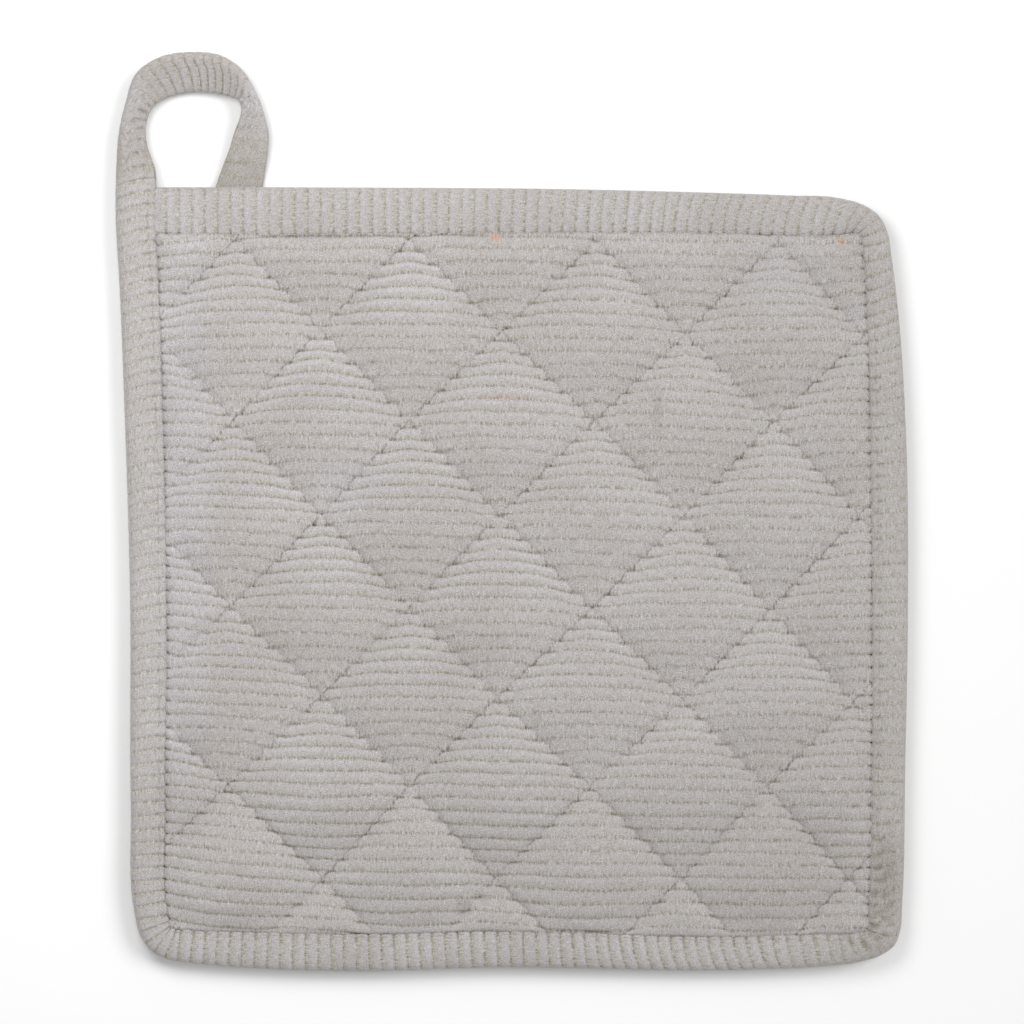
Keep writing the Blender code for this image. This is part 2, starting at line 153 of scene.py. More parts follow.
EDGE_KNOTS = (
    EdgeKnot(-90.0, 82.9, 12.0),  # top side, beginning beside the left strip
    EdgeKnot(-61.2, 82.9, 12.3),
    EdgeKnot(-28.6, 82.8, 11.9),
    EdgeKnot(9.7, 82.5, 11.4),
    EdgeKnot(47.9, 81.6, 10.6),
    EdgeKnot(70.9, 80.8, 10.3),
    EdgeKnot(83.1, 80.2, 10.1),  # right-hand top corner
    EdgeKnot(89.8, 78.3, 8.4),
    EdgeKnot(93.7, 75.5, 7.0),
    EdgeKnot(95.8, 71.4, 7.1),
    EdgeKnot(96.9, 65.0, 7.4),  # right side
    EdgeKnot(98.6, 51.0, 8.3),
    EdgeKnot(100.6, 20.0, 9.4),
    EdgeKnot(101.1, -25.0, 9.4),
    EdgeKnot(100.4, -65.0, 8.8),
    EdgeKnot(99.6, -100.2, 8.8),  # right-hand bottom corner
    EdgeKnot(99.1, -106.8, 8.7),
    EdgeKnot(97.6, -110.6, 8.2),
    EdgeKnot(94.4, -113.0, 7.6),
    EdgeKnot(88.2, -114.9, 7.8),
    EdgeKnot(78.5, -116.0, 8.5),  # bottom side
    EdgeKnot(60.7, -116.8, 8.7),
    EdgeKnot(-5.6, -116.3, 9.4),
    EdgeKnot(-41.3, -117.2, 9.6),
    EdgeKnot(-66.8, -116.4, 9.4),
    EdgeKnot(-82.1, -115.1, 8.6),  # left-hand bottom corner
    EdgeKnot(-88.2, -114.1, 8.2),
    EdgeKnot(-92.3, -111.8, 8.0),
    EdgeKnot(-95.0, -107.9, 8.2),
    EdgeKnot(-96.4, -102.0, 8.5),  # left side
    EdgeKnot(-97.3, -75.0, 9.0),
    EdgeKnot(-97.5, -22.4, 9.5),
    EdgeKnot(-99.1, 31.1, 10.0),
    EdgeKnot(-100.2, 57.9, 10.2),
    EdgeKnot(-101.2, 76.0, 10.2),
    EdgeKnot(-101.2, 82.9, 10.2),
)

QUILT_COLUMNS = (
    QuiltColumn(-70.4, -72.9),
    QuiltColumn(-49.0, -48.2),
    QuiltColumn(-26.3, -26.0),
    QuiltColumn(-2.3, -4.3),
    QuiltColumn(21.7, 19.4),
    QuiltColumn(44.4, 43.2),
    QuiltColumn(67.8, 64.5),
    QuiltColumn(90.5, 85.7),
)
QUILT_ROWS = (
    QuiltRow(69.4, 68.6),
    QuiltRow(46.9, 44.6),
    QuiltRow(23.2, 22.9),
    QuiltRow(-0.8, -1.3),
    QuiltRow(-24.2, -25.2),
    QuiltRow(-46.4, -48.7),
    QuiltRow(-69.9, -70.4),
    QuiltRow(-93.8, -93.6),
)

LOOP_SECTIONS = (
    LoopSection(-101.2, 83.2, -91.0, 83.2, 3.6, 3.5, 6.2),
    LoopSection(-100.9, 88.5, -92.1, 88.2, 4.0, 3.2, 4.8),
    LoopSection(-100.7, 93.3, -93.3, 93.1, 4.2, 3.1, 3.7),
    LoopSection(-100.0, 98.7, -93.8, 97.9, 4.3, 3.0, 3.3),
    LoopSection(-98.7, 104.0, -93.1, 101.2, 4.4, 2.9, 3.2),
    LoopSection(-95.6, 112.2, -90.3, 104.8, 4.6, 2.4, 3.2),
    LoopSection(-90.3, 115.8, -86.7, 106.7, 4.8, 2.0, 3.2),
    LoopSection(-81.6, 117.3, -80.8, 107.7, 4.6, 2.0, 3.2),
    LoopSection(-74.0, 116.3, -75.2, 107.2, 4.8, 2.2, 3.2),
    LoopSection(-69.1, 113.0, -71.1, 106.2, 4.7, 2.8, 3.2),
    LoopSection(-65.8, 108.1, -69.4, 104.9, 4.3, 3.5, 3.1),
    LoopSection(-63.2, 101.5, -69.2, 101.4, 3.8, 3.3, 3.0),
    LoopSection(-62.1, 96.4, -70.9, 97.0, 3.0, 2.4, 2.9),
    LoopSection(-62.4, 91.3, -72.3, 92.6, 2.1, 1.8, 2.6),
    LoopSection(-63.5, 85.0, -74.8, 86.2, 1.0, 1.0, 1.7),
    LoopSection(-64.1, 81.5, -75.9, 82.7, 0.9, 0.9, 1.6),
    LoopSection(-65.4, 75.2, -77.0, 76.2, 0.9, 0.9, 1.6),
)

# The strip folded in four. The first lines run along its pile, from one raw edge, which is
# turned under the top leg, over the top, round the outside and back under the bottom leg.
# The rest run back along its bare side. At the seam the top leg is drawn down.
SEAM_ROWS = (6, 7, 8)
FOLD_SCALLOP = ((2, 0.6), (3, 0.9), (4, 1.0), (5, 1.0), (6, 0.9), (7, 0.6), (8, 0.3))
FOLD_ROWS = (
    FoldRow(0.00, 2.60, 5.45, 0.00, 1.60, 0.03, 0),
    FoldRow(0.50, 0.00, 5.45, 0.50, 0.00, 0.03, 0),
    FoldRow(1.00, -0.50, 5.45, 1.00, -0.50, 0.03, 0),
    FoldRow(1.00, -0.12, 5.56, 1.00, -0.12, 0.15, 0),
    FoldRow(1.00, 0.00, 5.80, 1.00, 0.00, 0.50, 0.2),
    FoldRow(1.00, -0.12, 6.08, 1.00, -0.08, 0.78, 0.5),
    FoldRow(1.00, -0.50, 6.25, 1.00, -0.30, 0.97, 0.8),
    FoldRow(1.00, -1.00, 6.35, 0.90, 0.00, 1.00, 0.8),
    FoldRow(1.00, -1.60, 6.50, 0.80, 0.00, 1.00, 1),
    FoldRow(0.66, 0.00, 6.88, 0.68, 0.00, 1.00, 1),
    FoldRow(0.56, 0.00, 6.98, 0.56, 0.00, 1.00, 1),
    FoldRow(0.46, 0.00, 6.96, 0.46, 0.00, 1.00, 1),
    FoldRow(0.32, 0.00, 6.86, 0.36, 0.00, 1.00, 1),
    FoldRow(0.19, 0.00, 6.60, 0.00, 1.15, 0.99, 1),
    FoldRow(0.09, 0.00, 6.12, 0.00, 0.62, 0.92, 0.8),
    FoldRow(0.035, 0.00, 5.36, 0.00, 0.25, 0.66, 0.6),
    FoldRow(0.008, 0.00, 4.45, 0.00, 0.06, 0.35, 0.45),
    FoldRow(0.00, 0.00, 3.40, 0.00, 0.00, 0.00, 0.4),
    FoldRow(0.02, 0.00, 2.35, 0.00, 0.06, -0.35, 0.4),
    FoldRow(0.06, 0.00, 1.30, 0.00, 0.25, -0.66, 0.4),
    FoldRow(0.11, 0.00, 0.50, 0.00, 0.62, -0.92, 0.4),
    FoldRow(0.18, 0.00, 0.12, 0.00, 1.15, -0.99, 0.3),
    FoldRow(0.36, 0.00, 0.08, 0.36, 0.00, -1.00, 0.2),
    FoldRow(0.62, 0.00, 0.08, 0.62, 0.00, -1.00, 0.2),
    FoldRow(1.00, -0.80, 0.08, 1.00, -0.30, -0.97, 0.2),
    FoldRow(1.00, -0.15, 0.30, 1.00, -0.08, -0.78, 0),
    FoldRow(1.00, 0.00, 0.80, 1.00, 0.00, -0.50, 0),
    FoldRow(1.00, -0.15, 1.38, 1.00, -0.12, -0.15, 0),
    FoldRow(1.00, -0.70, 1.55, 1.00, -0.50, -0.03, 0),
    FoldRow(0.50, 0.00, 1.55, 0.50, 0.00, -0.03, 0),
    FoldRow(0.00, 2.60, 1.55, 0.00, 1.60, -0.03, 0),
    FoldRow(0.00, 2.60, 0.95, 0.00, 1.60, -0.47, 0),
    FoldRow(1.00, -1.00, 0.95, 1.00, -0.75, -0.47, 0),
    FoldRow(1.00, -0.80, 0.86, 1.00, -0.62, -0.50, 0),
    FoldRow(1.00, -1.00, 0.77, 1.00, -0.75, -0.53, 0),
    FoldRow(0.20, 0.00, 0.77, 0.00, 0.90, -0.53, 0),
    FoldRow(0.10, 0.50, 1.50, 0.00, 0.60, -0.40, 0),
    FoldRow(0.00, 0.75, 3.30, 0.00, 0.50, 0.00, 0),
    FoldRow(0.08, 0.70, 4.90, 0.00, 0.60, 0.40, 0),
    FoldRow(0.30, 0.00, 5.92, 0.00, 0.90, 0.53, 0),
    FoldRow(0.62, 0.00, 6.10, 0.62, 0.00, 0.53, 0),
    FoldRow(1.00, -1.00, 5.86, 1.00, -0.75, 0.53, 0),
    FoldRow(1.00, -0.80, 5.83, 1.00, -0.62, 0.50, 0),
    FoldRow(1.00, -1.00, 5.80, 1.00, -0.75, 0.47, 0),
    FoldRow(0.00, 2.60, 5.80, 0.00, 1.60, 0.47, 0),
)

# The distances are along the outer edge, clockwise from the top left.
STRIP_PLACES = (
    StripPlace(0, 0.34, 0.75, 0.00, 0.6),
    StripPlace(60, 0.36, 0.85, 0.00, 0.6),
    StripPlace(120, 0.32, 0.75, -0.08, 0.6),
    StripPlace(165, 0.32, 0.65, -0.30, 0.8),
    StripPlace(185, 0.45, 0.65, -0.18, 1.2),
    StripPlace(200, 0.45, 0.60, 0.25, 1.8),
    StripPlace(225, 0.25, 0.30, 0.20, 1.9),
    StripPlace(260, 0.12, 0.08, 0.05, 1.9),
    StripPlace(335, 0.14, 0.10, 0.00, 1.9),
    StripPlace(348, 0.22, 0.20, 0.30, 1.9, 0.08, 0.36),
    StripPlace(378, 0.22, 0.20, 0.20, 1.6, 0.08, 0.36),
    StripPlace(390, 0.35, 0.40, 0.10, 1.4),
    StripPlace(405, 0.42, 0.85, 0.28, 0.9),
    StripPlace(440, 0.42, 1.00, 0.24, 0.8),
    StripPlace(465, 0.42, 1.00, 0.04, 0.8),
    StripPlace(565, 0.42, 1.00, 0.00, 0.8),
    StripPlace(590, 0.50, 0.80, 0.08, 1.4),
    StripPlace(640, 0.40, 0.35, 0.18, 1.9),
    StripPlace(740, 0.45, 0.45, 0.22, 1.9, 0.02),
    StripPlace(760, 0.50, 0.50, 0.22, 1.9, 0.06),
    StripPlace(795, 0.50, 0.50, 0.22, 1.9, 0.08),
)

# The distances are along the loop, from the top left corner to the tucked end.
LOOP_PLACES = (
    StripPlace(0, 0.50, 0.50, 0.28, 1.9, 0.12),
    StripPlace(6, 0.45, 0.50, 0.32, 1.9, 0.28, 0.12),
    StripPlace(14, 0.40, 0.40, 0.28, 1.9, 0.24, 0.26),
    StripPlace(24, 0.35, 0.35, 0.20, 1.9, 0.12, 0.24),
    StripPlace(31, 0.55, 0.60, 0.15, 1.9, 0.12, 0.08),
    StripPlace(37, 0.85, 1.00, 0.18, 1.9, 0.12),
    StripPlace(53, 0.95, 1.20, 0.22, 1.9, 0.10),
    StripPlace(58, 0.55, 0.80, 0.20, 1.9, 0.06, 0.10),
    StripPlace(64, 0.12, 0.15, 0.10, 1.9, 0.00, 0.28),
    StripPlace(74, 0.04, 0.00, 0.00, 1.9, 0.06, 0.14),
    StripPlace(84, 0.04, 0.00, 0.00, 1.9, 0.14, 0.10),
    StripPlace(92, 0.04, 0.00, 0.00, 1.9, 0.26, 0.06),
)

PEACH = (205, 165, 140)
# the grey of smudges, and of broad patches of painted shade
GREY = (140, 132, 126)
# painted light: a paler patch that lifts the left binding
PAINTED_LIGHT_PALE = (208, 203, 201)
# painted highlight: the bluish white of lit crests
PAINTED_HIGHLIGHT_LILAC = (198, 195, 201)
SPOTS = (
    Spot(-4.2, 69.9, 1.5, 1.3, 0.8, PEACH),
    Spot(83.9, 69.0, 1.2, 1.1, 0.7, PEACH),
    Spot(-1.0, 29.4, 9.0, 0.8, 0.3, (198, 170, 160)),
    Spot(87.2, 51.0, 2.8, 3.5, 0.4, (186, 181, 190)),
    Spot(37.0, 25.5, 1.6, 7.0, 0.25, GREY),
    Spot(6.4, -51.8, 1.8, 3.0, 0.2, GREY),
    Spot(95.8, -93.0, 3.2, 14.0, 0.28, GREY),
    Spot(28.8, -68.3, 2.0, 2.0, 0.15, GREY),
    # painted shade: a broad patch, darker towards the bottom right
    Spot(67.0, -80.0, 30.0, 28.0, 0.12, GREY),
    # painted light along the left binding
    Spot(-96.8, -28.0, 7.5, 100.0, 0.28, PAINTED_LIGHT_PALE),
    # painted shade: a broad patch, darker towards the bottom
    Spot(2.0, -81.0, 19.0, 19.0, 0.12, GREY),
    Spot(-12.5, -100.5, 2.4, 2.6, 0.35, GREY),
    # painted highlights where crests catch the light, on the panel and the loop
    Spot(-84.0, 5.0, 9.0, 85.0, 0.30, PAINTED_HIGHLIGHT_LILAC),
    Spot(-97.5, 102.0, 5.0, 15.0, 0.30, PAINTED_HIGHLIGHT_LILAC),
    Spot(-65.5, 106.0, 5.0, 11.0, 0.35, PAINTED_HIGHLIGHT_LILAC),
    Spot(70.0, 60.0, 14.0, 12.0, 0.18, PAINTED_HIGHLIGHT_LILAC),
    Spot(-42.0, 6.0, 12.0, 10.0, 0.18, PAINTED_HIGHLIGHT_LILAC),
    # painted shade along the bottom
    Spot(15.0, -97.0, 85.0, 17.0, 0.07, GREY),
)


# ---- plain mathematics --------------------------------------------------------------------


def smooth_step(t: Array) -> Array:
    """Rises from 0 at 0 to 1 at 1, level at both ends."""
    t = np.clip(t, 0, 1)
    return t * t * (3 - 2 * t)


def cord_shape(phase: Array) -> Array:
    """Gives a cord's height, -1 in its valleys and 1 on its crest.

    Args:
        phase: place across the cord, from 0 at one valley to 1 at the next.

    Returns:
        The heights.
    """
    return np.interp(phase % 1.0, (*CORD_PHASES, 1.0), (*CORD_PROFILE, CORD_PROFILE[0]))


@dataclass(frozen=True)
class Wander:
    """A gentle irregularity in cloth, the same on every run: waves in seeded directions."""

    seed: int
    wavelength: float
    waves: int = 9

    def at(self, x: Array, y: Array) -> Array:
        """Gives the irregularity at places on the cloth.

        Args:
            x: first coordinate, in metres.
            y: second coordinate, in metres.

        Returns:
            Numbers that mostly lie between -1 and 1.
        """
        draw = np.random.default_rng(self.seed)
        total = np.zeros(np.broadcast(x, y).shape)
        for _ in range(self.waves):
            turn = draw.uniform(0, 2 * math.pi)
            length = self.wavelength * draw.uniform(0.6, 1.7)
            start = draw.uniform(0, 2 * math.pi)
            reach = (x * math.cos(turn) + y * math.sin(turn)) / length
            total += np.cos(2 * math.pi * reach + start)
        return total / math.sqrt(2 * self.waves)


class SmoothLine:
    """A smooth curve through a table's rows, whose first two columns are its place."""

    STEPS = 16

    def __init__(self, table: Sequence[Sequence[float]]) -> None:
        """Draws the curve through the rows, which are in millimetres.

        Args:
            table: the rows, in the order that the curve meets them.
        """
        rows = np.asarray(table, float) * MM
        span = np.linalg.norm(np.diff(rows[:, :2], axis=0), axis=1)[:, None]
        slope = np.diff(rows, axis=0) / span
        before, after = np.vstack([span[:1], span]), np.vstack([span, span[-1:]])
        arriving, leaving = np.vstack([slope[:1], slope]), np.vstack([slope, slope[-1:]])
        tangent = (after * arriving + before * leaving) / (before + after)
        t = np.linspace(0, 1, self.STEPS, endpoint=False)[:, None]
        stretches = [
            (2 * t**3 - 3 * t**2 + 1) * rows[i]
            + (t**3 - 2 * t**2 + t) * span[i] * tangent[i]
            + (3 * t**2 - 2 * t**3) * rows[i + 1]
            + (t**3 - t**2) * span[i] * tangent[i + 1]
            for i in range(len(span))
        ]
        self.fine = np.vstack(stretches + [rows[-1:]])
        steps = np.linalg.norm(np.diff(self.fine[:, :2], axis=0), axis=1)
        self.along = np.concatenate([[0], steps.cumsum()])
        self.length = float(self.along[-1])

    def at(self, distances: Array) -> Array:
        """Reads the rows at distances along the curve, with one more axis for the columns."""
        columns = [np.interp(distances, self.along, column) for column in self.fine.T]
        return np.stack(columns, axis=-1)


class OuterEdge:
    """The pot holder's outline, with the binding's width and the inward direction."""

    SPACING = 0.25 * MM

    def __init__(self) -> None:
        """Reads the outline's table."""
        self.line = SmoothLine(EDGE_KNOTS)
        self.length = self.line.length
        run = np.gradient(self.line.fine[:, :2], axis=0)
        run /= np.linalg.norm(run, axis=1)[:, None]
        self.inward = np.column_stack([run[:, 1], -run[:, 0]])
        self.samples = self.at(np.arange(0, self.length, self.SPACING))
        self.tree = KDTree(len(self.samples))
        for i, row in enumerate(self.samples):
            self.tree.insert((row[0], row[1], 0), i)
        self.tree.balance()

    def at(self, distances: Array) -> Array:
        """Reads the outline at distances along it.

        Args:
            distances: metres, clockwise from the top left; beyond either end the outline
                runs straight on.

        Returns:
            x, y, width, inward_x and inward_y, along one more axis.
        """
        rows = self.line.at(distances)
        inward = np.stack(
            [np.interp(distances, self.line.along, column) for column in self.inward.T], axis=-1
        )
        inward /= np.linalg.norm(inward, axis=-1, keepdims=True)
        past = distances - np.clip(distances, 0, self.length)
        run = np.stack([-inward[..., 1], inward[..., 0]], axis=-1)
        rows[..., :2] += run * past[..., None]
        return np.concatenate([rows, inward], axis=-1)

    def nearest(self, x: Array, y: Array) -> tuple[Array, Array]:
        """Finds the outline's nearest place to each point.

        Args:
            x: the points' x.
            y: the points' y.

        Returns:
            The signed distance in from the outline, and the rows of the nearest places.
        """
        flat = np.column_stack([np.ravel(x), np.ravel(y)])
        found = [self.tree.find((px, py, 0))[1] for px, py in flat]
        rows = self.samples[found]
        apart = flat - rows[:, :2]
        side = np.sign((apart * rows[:, 3:5]).sum(axis=1))
        distance = np.linalg.norm(apart, axis=1) * np.where(side == 0, 1, side)
        return distance.reshape(np.shape(x)), rows.reshape(*np.shape(x), 5)


# ---- shader trees -------------------------------------------------------------------------


class Value:
    """A number that varies over a surface, as a socket of a material's tree."""

    def __init__(self, tree: "ClothTree", socket: bpy.types.NodeSocket) -> None:
        """Wraps an output socket of the tree."""
        self.tree = tree
        self.socket = socket

    def __add__(self, other: "Value | float") -> "Value":
        """Adds."""
        return self.tree.math("ADD", self, other)

    def __radd__(self, other: float) -> "Value":
        """Adds to a number."""
        return self.tree.math("ADD", other, self)

    def __sub__(self, other: "Value | float") -> "Value":
        """Subtracts."""
        return self.tree.math("SUBTRACT", self, other)

    def __rsub__(self, other: float) -> "Value":
        """Subtracts from a number."""
        return self.tree.math("SUBTRACT", other, self)

    def __mul__(self, other: "Value | float") -> "Value":
        """Multiplies."""
        return self.tree.math("MULTIPLY", self, other)

    def __rmul__(self, other: float) -> "Value":
        """Multiplies a number."""
        return self.tree.math("MULTIPLY", other, self)

    def __truediv__(self, other: "Value | float") -> "Value":
        """Divides."""
        return self.tree.math("DIVIDE", self, other)

    def fraction(self) -> "Value":
        """Keeps what is past the whole number."""
        return self.tree.math("FRACT", self)

    def size(self) -> "Value":
        """Drops the sign."""
        return self.tree.math("ABSOLUTE", self)

    def least(self, other: "Value | float") -> "Value":
        """Gives the smaller of two."""
        return self.tree.math("MINIMUM", self, other)

    def rising(self, low: float, high: float) -> "Value":
        """Turns smoothly from 0 to 1, upwards or downwards.

        Args:
            low: the number that gives 0.
            high: the number that gives 1, which may be the smaller one.

        Returns:
            The result, which stays at 0 and 1 beyond them.
        """
        if low > high:
            return 1 - self.rising(high, low)
        node = self.tree.node(
            "ShaderNodeMapRange",
            {"interpolation_type": "SMOOTHSTEP"},
            {"Value": self, "From Min": low, "From Max": high},
        )
        return Value(self.tree, node.outputs["Result"])


class ClothTree:
    """A material's nodes, made one call at a time."""

    def __init__(self, name: str) -> None:
        """Starts a new material, without any node.

        Args:
            name: the material's name.
        """
        self.material = bpy.data.materials.new(name)
        self.material.use_nodes = True
        self.tree = self.material.node_tree
        self.tree.nodes.clear()

    def node(
        self, kind: str, settings: dict | None = None, inputs: dict | None = None
    ) -> bpy.types.ShaderNode:
        """Adds a node.

        Args:
            kind: the node's type.
            settings: its own settings, which are set first.
            inputs: what its sockets hold or are linked to, by name or number.

        Returns:
            The node.
        """
        made = self.tree.nodes.new(kind)
        for name, setting in (settings or {}).items():
            setattr(made, name, setting)
        for name, held in (inputs or {}).items():
            if isinstance(held, Value):
                held = held.socket
            if isinstance(held, bpy.types.NodeSocket):
                self.tree.links.new(held, made.inputs[name])
            else:
                made.inputs[name].default_value = held
        return made

    def math(self, operation: str, *operands: "Value | float") -> Value:
        """Adds a Math node for an operation on these operands."""
        made = self.node("ShaderNodeMath", {"operation": operation}, dict(enumerate(operands)))
        return Value(self, made.outputs[0])

    def mix(
        self,
        factor: "Value | float",
        first: "Colour | bpy.types.NodeSocket",
        second: "Colour | bpy.types.NodeSocket",
        blend: str = "MIX",
    ) -> bpy.types.NodeSocket:
        """Mixes two colours.

        Args:
            factor: 0 for the first colour and 1 for the second.
            first: a colour, or a socket that gives one.
            second: a colour, or a socket that gives one.
            blend: the Mix node's blend type.

        Returns:
            The socket of the mixed colour.
        """
        colours = [(*c, 1) if isinstance(c, tuple) else c for c in (first, second)]
        made = self.node(
            "ShaderNodeMix",
            {"data_type": "RGBA", "blend_type": blend},
            {0: factor, 6: colours[0], 7: colours[1]},
        )
        return made.outputs[2]

    def parts(self, vector: bpy.types.NodeSocket) -> list[Value]:
        """Splits a vector into its three numbers."""
        made = self.node("ShaderNodeSeparateXYZ", {}, {0: vector})
        return [Value(self, socket) for socket in made.outputs]

    def attribute(self, name: str) -> list[Value]:
        """Reads a mesh attribute of three numbers."""
        made = self.node("ShaderNodeAttribute", {"attribute_name": name})
        return self.parts(made.outputs["Vector"])

    def vector(self, *numbers: "Value | float") -> bpy.types.NodeSocket:
        """Joins up to three numbers into a vector."""
        return self.node("ShaderNodeCombineXYZ", {}, dict(enumerate(numbers))).outputs[0]

    def noise(self, place: bpy.types.NodeSocket, scale: float, detail: float = 2.0) -> Value:
        """Gives a noise round 0.5 at a place.

        Args:
            place: the socket that gives the place.
            scale: how many blotches there are to one unit of the place.
            detail: how many finer layers it has.

        Returns:
            The noise.
        """
        held = {"Vector": place, "Scale": scale, "Detail": detail}
        return Value(self, self.node("ShaderNodeTexNoise", {}, held).outputs["Fac"])

    def place(self) -> bpy.types.NodeSocket:
        """Gives the place on the piece, in metres."""
        return self.node("ShaderNodeTexCoord").outputs["Object"]

    def bump(self, strength: float, distance: float, height: Value) -> bpy.types.NodeSocket:
        """Gives the normal of a surface with fine heights, which reach over the distance."""
        held = {"Strength": strength, "Distance": distance, "Height": height}
        return self.node("ShaderNodeBump", {}, held).outputs["Normal"]

    def finished(self, inputs: dict) -> bpy.types.Material:
        """Ends the tree with its shader.

        Args:
            inputs: what the shader's sockets hold or are linked to, by name.

        Returns:
            The material.
        """
        shader = self.node("ShaderNodeBsdfPrincipled", {}, inputs)
        self.node("ShaderNodeOutputMaterial", {}, {"Surface": shader.outputs[0]})
        return self.material


STUDIO_GAIN = 1.22  # how much brighter the studio's light shows a cloth than its own colour


def pile_colour(red: float, green: float, blue: float) -> Colour:
    """Turns a colour as it looks under the studio light into the cloth's own colour.

    Args:
        red: 0 to 255, as on a screen.
        green: the same.
        blue: the same.

    Returns:
        The linear colour of the cloth.
    """
    shown = [(c / 255 + 0.055) / 1.055 for c in (red, green, blue)]
    return tuple(c**2.4 / STUDIO_GAIN for c in shown)


class PilePlace:
    """What the corduroy's finish reads at a place of the cloth, as values of its tree."""

    def __init__(self, tree: ClothTree) -> None:
        """Reads the mesh's attributes, and makes the patterns that the finish shares.

        Args:
            tree: the material's tree.
        """
        self.tree = tree
        self.along, self.across, self.shade = tree.attribute("cloth")
        self.crisp, self.rising, self.falling = tree.attribute("pile")
        self.seam = self.rising.size().least(self.falling.size())
        self.place = tree.place()
        wobble = self.on_cloth(0.6, 1.0, 3.0) - 0.5
        phase = (self.across + wobble * 0.30).fraction()
        self.from_crest = (phase * 2 - 1).size()
        self.lit = phase.rising(0.06, 0.26) * phase.rising(0.60, 0.30)
        self.low = phase.rising(0.50, 0.92)
        self.broad = tree.noise(self.place, 45.0)
        self.mottle = tree.noise(self.place, 420.0)
        self.tufts = self.on_cloth(1.5, 1.4, 2.0)
        self.fibres = self.on_cloth(4.4, 9.5, 1.0)
        self.ribs = self.on_cloth(2.1, 2.4, 1.0)
        self.dots = self.ribs.rising(0.62, 0.42) * (self.tufts.rising(0.66, 0.40) * 0.7 + 0.5)

    def on_cloth(self, along: float, across: float, detail: float) -> Value:
        """Gives a noise that follows the cords.

        Args:
            along: how many blotches there are to a millimetre along the cords.
            across: how many there are to a cord.
            detail: how many finer layers it has.

        Returns:
            The noise, round 0.5.
        """
        place = self.tree.vector(self.along * along, self.across * across, 0.0)
        return self.tree.noise(place, 1.0, detail)


